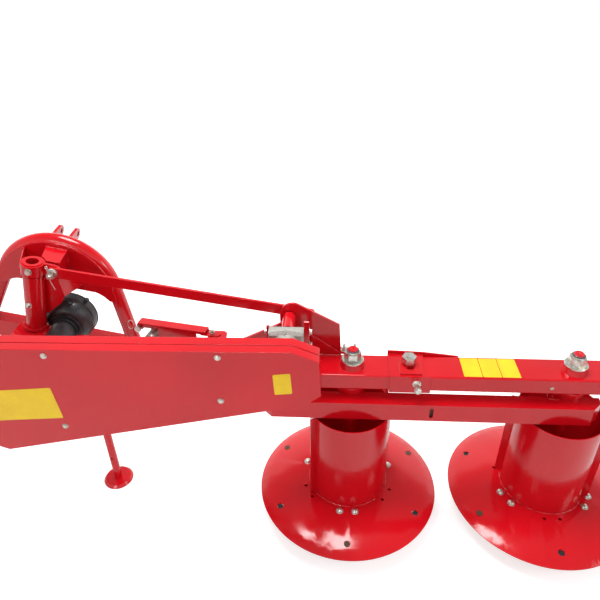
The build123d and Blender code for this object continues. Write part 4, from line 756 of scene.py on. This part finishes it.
class MOWER_OT_beam_fittings(bpy.types.Operator):
    """Small bolts, clamping screw, lug and wire clip on the beams, and a dark plate behind the lower beam's
    slot that paints the shade inside its channel
    """
    bl_idname = "mower.beam_fittings"
    bl_label = "Beam fittings"

    SCREW_X, SCREW_Z = 0.230, 0.702
    SCREW_REACH = 0.032
    BOLT_X, BOLT_Z = 0.7095, 0.692
    LUG_LEVEL = 0.728
    LUG_FRONT = 0.098
    LUG_ROOT = (-0.046, 0.030)
    LUG_TIP = (0.026, -0.044)
    LUG_THICKNESS = 8.0
    LUG_BOLTS = (-0.029, 0.0105)
    # Dark plate inside the lower beam's channel, behind its slot: painted shade for the dark seen through
    # the slot
    SHADE_PLATE_Y = -0.084
    SHADE_PLATE = ((0.258, 0.552), (0.322, 0.552), (0.322, 0.623), (0.258, 0.623))
    CLIP_CENTRE = (0.726, -0.034)
    CLIP_PIN = ((0.716, -0.048), (0.744, -0.052), (0.752, -0.048))
    CLIP_WIRE = 1.8

    def execute(self, context):
        rearward = (0, -1, 0)
        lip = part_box("cover_clamp")[0][1]
        seat = towards((self.SCREW_X, lip, self.SCREW_Z), rearward)
        tip = towards((self.SCREW_X, lip - self.SCREW_REACH, self.SCREW_Z), rearward)
        screw = [
            settle(hex_bolt("screw_nut", 12.0, 9.0, 1.3), seat),
            settle(turned("screw_shank", [(8.0, 0), (8.0, 44)], 20), seat),
            settle(hex_bolt("screw_head", 12.5, 9.0, 1.02), tip),
        ]
        finished(joined(screw, "clamp_screw"), "cutting_unit", "zinc_steel")
        spot = towards((self.BOLT_X, BEAM_BACK, self.BOLT_Z), rearward)
        finished(settle(dome_bolt("beam_bolt", 7.0), spot), "cutting_unit", "zinc_steel")
        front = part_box("upper_beam")[1][1]
        lug = [(x, front, self.LUG_LEVEL) for x in self.LUG_ROOT]
        lug += [(x, self.LUG_FRONT, self.LUG_LEVEL) for x in self.LUG_TIP]
        finished(slab("beam_lug", lug, self.LUG_THICKNESS), "cutting_unit", "red_paint")
        level = self.LUG_LEVEL + self.LUG_THICKNESS * MM
        places = [Matrix.Translation((x, 0.080, level)) for x in self.LUG_BOLTS]
        tips = repeated(hex_bolt("lug_bolt", 10.0, 9.0, 1.35, 16.0), places, "lug_bolts")
        finished(tips, "cutting_unit", "zinc_steel")
        # The plate behind the slot takes the dark rusted-steel finish as painted shade
        shade_plate = [(x, self.SHADE_PLATE_Y, z) for x, z in self.SHADE_PLATE]
        finished(slab("slot_shade_plate", shade_plate, 3.0), "cutting_unit", "brown_steel")
        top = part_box("lower_beam")[1][2] + 0.0022
        loop = ring("clip_loop", (*self.CLIP_CENTRE, top), (0, 0, 1), 13.0, self.CLIP_WIRE, 0.8)
        pin = wire("clip_pin", [(x, y, top) for x, y in self.CLIP_PIN], self.CLIP_WIRE)
        finished(joined([loop, pin], "beam_wire_clip"), "cutting_unit", "red_paint")
        return {"FINISHED"}


class MOWER_OT_gearbox_fittings(bpy.types.Operator):
    """Oil plug and side bolts on the gearbox"""
    bl_idname = "mower.gearbox_fittings"
    bl_label = "Gearbox fittings"

    PLUG_PLACE = (HINGE.x - 0.001, -0.110, 0.929)
    BOLT_Y = -0.058
    BOLT_Z = 0.916
    BOLT_SPACING = 0.055

    def execute(self, context):
        low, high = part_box("gearbox_plates")
        plug = settle(hex_bolt("oil_plug", 13.5, 9.0, 1.15), towards(self.PLUG_PLACE, (0, -1, 0)))
        finished(plug, "cutting_unit", "zinc_steel")
        places = []
        for z in (self.BOLT_Z, self.BOLT_Z - self.BOLT_SPACING):
            places.append(towards((low[0], self.BOLT_Y, z), (-1, 0, 0)))
            places.append(towards((high[0], self.BOLT_Y, z), (1, 0, 0)))
        bolts = repeated(hex_bolt("side_bolt", 9.5, 7.0), places, "gearbox_side_bolts")
        finished(bolts, "cutting_unit", "zinc_steel")
        return {"FINISHED"}


class MOWER_OT_hitch_fittings(bpy.types.Operator):
    """Bolts of the king post, castle nut with its cotter, pull pin's ring and nose bolt"""
    bl_idname = "mower.hitch_fittings"
    bl_label = "Hitch fittings"

    # Corner cut out of the bracket's left plate, which passes the collar's bolt as the hitch swings
    NOTCH_PLACE = (-0.048, 0.001, -0.026)
    NOTCH_SIZE = (0.016, 0.026, 0.022)

    COLLAR_BOLT = (0.0035, -0.0415, -0.022)
    GREASE_CAP = (-0.0077, -0.0353, -0.173)
    CROWN = [(11.5, 0), (11.5, 5), (10.5, 6.5), (8.4, 6.5), (8.2, 11), (7.4, 12.2), (2.0, 12.2)]
    WASHER = [(19, 0), (19, 2.6), (18, 3.2)]
    WASHER_Y = 0.0779
    # The cotter's bends, right of and above the nut's centre
    COTTER = ((-0.001, 0.034), (0, 0.012), (0, -0.016), (0.004, -0.034), (0.009, -0.052))

    def cut_notch(self):
        """Cut the corner with a block in the king post's leaning frame."""
        start_fresh()
        bpy.ops.mesh.primitive_cube_add(size=1)
        block = bpy.context.object
        shape = Matrix.Diagonal((*self.NOTCH_SIZE, 1.0))
        settle(block, KING_POST @ Matrix.Translation(self.NOTCH_PLACE) @ shape)
        bracket = bpy.data.objects["hitch_bracket_eased"]
        pick(bracket)
        notch = bracket.modifiers.new("notch", "BOOLEAN")
        notch.operation = "DIFFERENCE"
        notch.solver = "EXACT"
        notch.object = block
        bpy.ops.object.modifier_apply(modifier=notch.name)
        bpy.data.objects.remove(block)

    def execute(self, context):
        self.cut_notch()
        rearward = (0, -1, 0)
        place = KING_POST @ towards(self.COLLAR_BOLT, rearward)
        finished(settle(hex_bolt("collar_bolt", 11.0, 8.0, 1.15), place), "boom", "zinc_steel")
        place = KING_POST @ towards(self.GREASE_CAP, rearward)
        finished(settle(dome_bolt("sleeve_grease_cap", 12.0), place), "hitch", "zinc_steel")
        low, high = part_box("tension_bar_bolt")
        x, z = (low[0] + high[0]) / 2, (low[2] + high[2]) / 2
        back = low[1]
        crown = turned("castle_crown", self.CROWN, 24)
        nut = settle(crown, towards((x, back + 0.0005, z), rearward))
        disc = turned("castle_washer", self.WASHER, 32)
        washer = settle(disc, towards((x, self.WASHER_Y, z), rearward))
        finished(joined([nut, washer], "castle_nut_crown"), "boom", "zinc_steel")
        pin_y = back - 0.0045
        cotter = wire("cotter_pin", [(x + right, pin_y, z + up) for right, up in self.COTTER], 1.8)
        eye = ring("cotter_eye", (x - 0.001, pin_y, z + 0.0375), rearward, 4.5, 1.6)
        finished(joined([cotter, eye], "cotter_pin"), "boom", "spring_wire")
        low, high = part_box("latch_pin")
        end = Vector((low[0] + 0.006, low[1] + 0.001, (low[2] + high[2]) / 2))
        centre = end + Vector((-0.014, -0.002, 0.026))
        loop = ring("pull_ring", centre, (0.2, -1, 0.3), 17.0, 1.8, 0.62)
        finished(loop, "boom", "spring_wire")
        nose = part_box("latch_channel")[1][0] - 0.032
        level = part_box("latch_bracket")[1][2] + 0.0043
        place = Matrix.Translation((nose, 0.078, level))
        finished(settle(hex_bolt("nose_bolt", 7.5, 6.0), place), "boom", "zinc_steel")
        return {"FINISHED"}


class MOWER_OT_weld_beads(bpy.types.Operator):
    """Straight weld beads along the plates' joints, and the arch's long bead"""
    bl_idname = "mower.weld_beads"
    bl_label = "Weld beads"

    PLATE_RUN = (-0.060, -0.030)
    # The boom's end at the fork
    FORK_X = -0.4185
    FORK_TOP = 0.7985
    FORK_SIDES = (-0.0585, 0.0225)
    FORK_RUN = (0.716, 0.794)
    # The bracket's front face, in the king post's leaning frame
    BRACKET_FACE = 0.1151
    # How far the arch's bead lies behind its centre, and how low it ends above it
    ARCH_BACK = -0.033
    ARCH_END = 0.070

    def execute(self, context):
        size = context.scene.mower_sizes.bead / MM
        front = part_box("upper_beam")[1][1]
        plate_low, plate_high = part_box("gearbox_plates")
        hinge_low, hinge_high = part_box("hinge_plate")
        rib_low, rib_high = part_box("beam_gusset")
        top = BEAM_TOP + 0.0003
        runs = {
            "cutting_unit": [
                ((hinge_low[0] + 0.004, front, top), (hinge_high[0] - 0.004, front, top)),
                ((rib_low[0], rib_low[1], top), (rib_high[0], rib_low[1], top)),
                tuple((plate_high[0], y, top) for y in self.PLATE_RUN),
                tuple((plate_low[0], y, top) for y in self.PLATE_RUN),
            ],
            "boom": [
                ((self.FORK_X, -0.055, self.FORK_TOP), (self.FORK_X, 0.019, self.FORK_TOP)),
                tuple((self.FORK_X, self.FORK_SIDES[0], z) for z in self.FORK_RUN),
                tuple((self.FORK_X, self.FORK_SIDES[1], z) for z in self.FORK_RUN),
            ],
        }
        for body, ends in runs.items():
            beads = [weld_bead(a, b, size, 10 + index) for index, (a, b) in enumerate(ends)]
            finished(joined(beads, body + "_weld_beads"), body, "red_paint", 60)
        face = self.BRACKET_FACE
        hitch = [
            ((-0.002, face, 0.0), (0.080, face, 0.0)),
            ((0.080, face, -0.004), (0.080, face, -0.060)),
            ((-0.086, face, -0.024), (-0.086, face, -0.060)),
        ]
        beads = []
        for index, (a, b) in enumerate(hitch):
            beads.append(weld_bead(KING_POST @ Vector(a), KING_POST @ Vector(b), size, 30 + index))
        arc = bead_ring("arch_bead", (ARCH_RADIUS + WEB_LAP) / MM + 1.0, size, 41, 260)
        middle = Matrix.Translation(ARCH_CENTRE + Vector((0, self.ARCH_BACK, 0)))
        settle(arc, KING_POST @ middle @ Matrix.Rotation(pi / 2, 4, "X"))
        bpy.ops.object.mode_set(mode="EDIT")
        bpy.ops.mesh.select_all(action="SELECT")
        centre = KING_POST @ (ARCH_CENTRE + Vector((0, 0, self.ARCH_END)))
        down = (KING_POST.to_3x3() @ Vector((0, 0, -1))).normalized()
        bpy.ops.mesh.bisect(plane_co=centre, plane_no=down, clear_outer=True, use_fill=True)
        bpy.ops.object.mode_set(mode="OBJECT")
        finished(joined(beads + [arc], "hitch_weld_beads"), "hitch", "red_paint", 60)
        return {"FINISHED"}


class MOWER_OT_shaft_guard(bpy.types.Operator):
    """Bell of the shaft guard with its clip knob, lug and bolt"""
    bl_idname = "mower.shaft_guard"
    bl_label = "Shaft guard"

    AXIS = Vector((-1.121, 0.0, 0.7915))
    # Radius in millimetres and place along the axis in metres, from the neck to the rim
    OUTSIDE = [
        (54, 0.1205), (62, 0.1215), (70, 0.1255), (80, 0.1345), (88, 0.1450), (93.5, 0.1560),
        (95.5, 0.1640), (95.8, 0.1680), (93.8, 0.1690), (93.8, 0.1725), (95.8, 0.1735),
        (96.5, 0.1800), (97.0, 0.2040), (98.5, 0.2060), (98.5, 0.2110), (96.5, 0.2125),
    ]
    NECK = [(51, 0.1240), (51, 0.1210)]
    WALL = 3.0
    LUG_Y = 0.0995
    LUG = ((-1.184, 0.815), (-1.160, 0.742), (-1.146, 0.768), (-1.154, 0.808))
    LUG_BOLT = (-1.1634, 0.0945, 0.779)
    KNOB = [(8, 0), (8, 6), (7, 7), (7, 8.5), (10, 10), (10, 14), (8.5, 16), (3, 16.5)]
    KNOB_ANGLE = 45

    def bell(self):
        """Turn the outside, then the inside back to the neck."""
        inside = [(radius - self.WALL, y) for radius, y in reversed(self.OUTSIDE[1:-1])]
        profile = self.OUTSIDE + inside + self.NECK
        steps = [(radius, y / MM) for radius, y in profile]
        start_fresh()
        radius, height = steps[0]
        bpy.ops.mesh.primitive_circle_add(
            vertices=72, radius=radius * MM, fill_type="NOTHING", location=(0, 0, height * MM)
        )
        shell = bpy.context.object
        shell.name = "shaft_guard_bell"
        bpy.ops.object.mode_set(mode="EDIT")
        bpy.ops.mesh.select_all(action="SELECT")
        for wider, higher in steps[1:]:
            rise = (0, 0, (higher - height) * MM)
            bpy.ops.mesh.extrude_edges_move(TRANSFORM_OT_translate={"value": rise})
            scale = wider / radius
            bpy.ops.transform.resize(value=(scale, scale, 1), center_override=(0, 0, higher * MM))
            radius, height = wider, higher
        bpy.ops.mesh.select_all(action="DESELECT")
        bpy.ops.mesh.select_non_manifold()
        bpy.ops.mesh.bridge_edge_loops()
        bpy.ops.mesh.select_all(action="SELECT")
        bpy.ops.mesh.normals_make_consistent(inside=False)
        settle(shell)
        return settle(shell, towards(self.AXIS, (0, 1, 0)))

    def execute(self, context):
        bell = finished(self.bell(), "boom", "black_plastic", 25)
        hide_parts("shaft_cup")
        corners = [(x, self.LUG_Y, z) for x, z in self.LUG]
        finished(slab("shaft_guard_lug", corners, 5.0), "boom", "red_paint")
        bolt = settle(hex_bolt("shaft_guard_bolt", 8.5, 7.0), towards(self.LUG_BOLT, (0, -1, 0)))
        finished(bolt, "boom", "zinc_steel")
        angle = radians(self.KNOB_ANGLE)
        out = Vector((cos(angle), 0, sin(angle)))
        spot = self.AXIS + out * 0.0945 + Vector((0, 0.196, 0))
        finished(settle(turned("guard_knob", self.KNOB), towards(spot, out)), "boom", "black_plastic")
        return {"FINISHED"}


class MOWER_OT_stage(bpy.types.Operator):
    """Pale floor, soft lamps, white surroundings and the camera"""
    bl_idname = "mower.stage"
    bl_label = "Stage"

    FLOOR = 30.0
    FLOOR_LEVEL = -0.0006
    FLOOR_GLOW = 0.62           # For the camera
    FLOOR_GLOW_MIRRORED = 0.2   # In reflections
    AMBIENT = 0.60
    # In reflections the white fades overhead, between two heights of the ray's direction
    CEILING = 0.30
    FADE_START = 0.3
    FADE_END = 0.75
    LAMPS = (
        # name, place, point it faces, size, power
        ("lamp_over", (-0.6, 0.5, 4.4), (-0.3, 0.0, 0.5), 1.8, 135.0),
        ("lamp_camera_side", (-2.2, -4.2, 2.4), (-0.4, 0.0, 0.6), 1.8, 46.0),
        ("lamp_right", (3.6, -1.5, 2.6), (0.0, 0.0, 0.6), 1.4, 32.0),
    )

    # A white board in front of the mower, which its gloss mirrors
    CARD_PLACE = (-0.3, 1.7, 0.95)
    CARD_SIZE = (6.0, 1.8)
    CARD_POWER = 26.0

    def execute(self, context):
        start_fresh()
        bpy.ops.mesh.primitive_plane_add(size=self.FLOOR, location=(0, 0, self.FLOOR_LEVEL))
        floor = context.object
        floor.name = "floor"
        floor.data.materials.append(self.floor_material())
        for name, place, target, size, power in self.LAMPS:
            data = bpy.data.lights.new(name, "AREA")
            data.shape = "DISK"
            data.size = size
            data.energy = power
            lamp = bpy.data.objects.new(name, data)
            context.collection.objects.link(lamp)
            lamp.matrix_world = towards(place, Vector(place) - Vector(target))
        card = bpy.data.lights.new("card_front", "AREA")
        card.shape = "RECTANGLE"
        card.size, card.size_y, card.energy = self.CARD_SIZE[0], self.CARD_SIZE[1], self.CARD_POWER
        board = bpy.data.objects.new("card_front", card)
        context.collection.objects.link(board)
        board.matrix_world = towards(self.CARD_PLACE, (0, 1, 0))
        board.visible_camera = False
        self.surroundings(context)
        camera = bpy.data.objects.new("camera", bpy.data.cameras.new("camera"))
        context.collection.objects.link(camera)
        camera.data.lens = CAMERA_LENS
        camera.data.sensor_width = CAMERA_SENSOR
        camera.data.sensor_fit = "HORIZONTAL"
        camera.data.clip_end = 100.0
        back = CAMERA_RIGHT.cross(CAMERA_UP)
        turn = Matrix((CAMERA_RIGHT, CAMERA_UP, back)).transposed().to_4x4()
        camera.matrix_world = Matrix.Translation(CAMERA_PLACE) @ turn
        context.scene.camera = camera
        context.scene.view_settings.view_transform = "Standard"
        return {"FINISHED"}

    @staticmethod
    def seen(tree):
        """1 for rays that show the surroundings, 0 for rays that light the machine."""
        path = add_node(tree, "ShaderNodeLightPath").outputs
        first = {0: path["Is Camera Ray"], 1: path["Is Glossy Ray"]}
        either = add_node(tree, "ShaderNodeMath", first, operation="MAXIMUM")
        every = {0: either.outputs[0], 1: path["Is Transmission Ray"]}
        return add_node(tree, "ShaderNodeMath", every, operation="MAXIMUM").outputs[0]

    def floor_material(self):
        """Matt pale floor that glows a little for the camera, so that it meets the white."""
        made = bpy.data.materials.new("floor_pale")
        made.use_nodes = True
        tree = made.node_tree
        tree.nodes.clear()
        dull = add_node(tree, "ShaderNodeBsdfDiffuse", {"Color": linear("DADADA")})
        direct = add_node(tree, "ShaderNodeLightPath").outputs["Is Camera Ray"]
        glows = {"Value": direct, "To Min": self.FLOOR_GLOW_MIRRORED, "To Max": self.FLOOR_GLOW}
        share = add_node(tree, "ShaderNodeMapRange", glows)
        factors = {0: self.seen(tree), 1: share.outputs[0]}
        lift = add_node(tree, "ShaderNodeMath", factors, operation="MULTIPLY")
        glow = add_node(tree, "ShaderNodeEmission", {"Strength": lift.outputs[0]})
        both = add_node(tree, "ShaderNodeAddShader", {0: dull.outputs[0], 1: glow.outputs[0]})
        add_node(tree, "ShaderNodeOutputMaterial", {"Surface": both.outputs[0]})
        return made

    def surroundings(self, context):
        """White for the camera and in reflections, a plain ambient level for the rest."""
        world = bpy.data.worlds.new("studio")
        context.scene.world = world
        world.use_nodes = True
        tree = world.node_tree
        tree.nodes.clear()
        way = add_node(tree, "ShaderNodeTexCoord").outputs["Generated"]
        up = add_node(tree, "ShaderNodeSeparateXYZ", {0: way}).outputs[2]
        fade = add_node(tree, "ShaderNodeMapRange", {
            "Value": up, "From Min": self.FADE_START, "From Max": self.FADE_END,
            "To Min": 1.0, "To Max": self.CEILING,
        })
        camera = add_node(tree, "ShaderNodeLightPath").outputs["Is Camera Ray"]
        white = add_node(tree, "ShaderNodeMath", {0: camera, 1: fade.outputs[0]}, operation="MAXIMUM")
        values = {"Value": self.seen(tree), "To Min": self.AMBIENT, "To Max": white.outputs[0]}
        level = add_node(tree, "ShaderNodeMapRange", values)
        light = add_node(tree, "ShaderNodeBackground", {"Color": (1, 1, 1, 1), "Strength": level.outputs[0]})
        add_node(tree, "ShaderNodeOutputWorld", {"Surface": light.outputs[0]})


OPERATORS = (
    MOWER_OT_finishes,
    MOWER_OT_eased_plates,
    MOWER_OT_disc_bolts,
    MOWER_OT_shade_bungs,
    MOWER_OT_drum_welds,
    MOWER_OT_axle_tops,
    MOWER_OT_guard_bolts,
    MOWER_OT_signs,
    MOWER_OT_beam_fittings,
    MOWER_OT_gearbox_fittings,
    MOWER_OT_hitch_fittings,
    MOWER_OT_weld_beads,
    MOWER_OT_shaft_guard,
    MOWER_OT_stage,
)


class MOWER_PT_panel(bpy.types.Panel):
    """Sizes, colours and pieces of the mower"""
    bl_idname = "MOWER_PT_panel"
    bl_label = "Mower"
    bl_space_type = "VIEW_3D"
    bl_region_type = "UI"
    bl_category = "Mower"

    def draw(self, context):
        column = self.layout.column()
        for group in (context.scene.mower_sizes, context.scene.mower_colours):
            for name in group.__annotations__:
                column.prop(group, name)
        for operator in OPERATORS:
            column.operator(operator.bl_idname)


CLASSES = (MOWER_PG_sizes, MOWER_PG_colours) + OPERATORS + (MOWER_PT_panel,)


def register():
    for item in CLASSES:
        bpy.utils.register_class(item)
    bpy.types.Scene.mower_sizes = bpy.props.PointerProperty(type=MOWER_PG_sizes)
    bpy.types.Scene.mower_colours = bpy.props.PointerProperty(type=MOWER_PG_colours)


def unregister():
    del bpy.types.Scene.mower_colours
    del bpy.types.Scene.mower_sizes
    for item in reversed(CLASSES):
        bpy.utils.unregister_class(item)


def main():
    """Make every piece in order."""
    register()
    for operator in OPERATORS:
        group, name = operator.bl_idname.split(".")
        getattr(getattr(bpy.ops, group), name)()


if __name__ == "__main__":
    main()
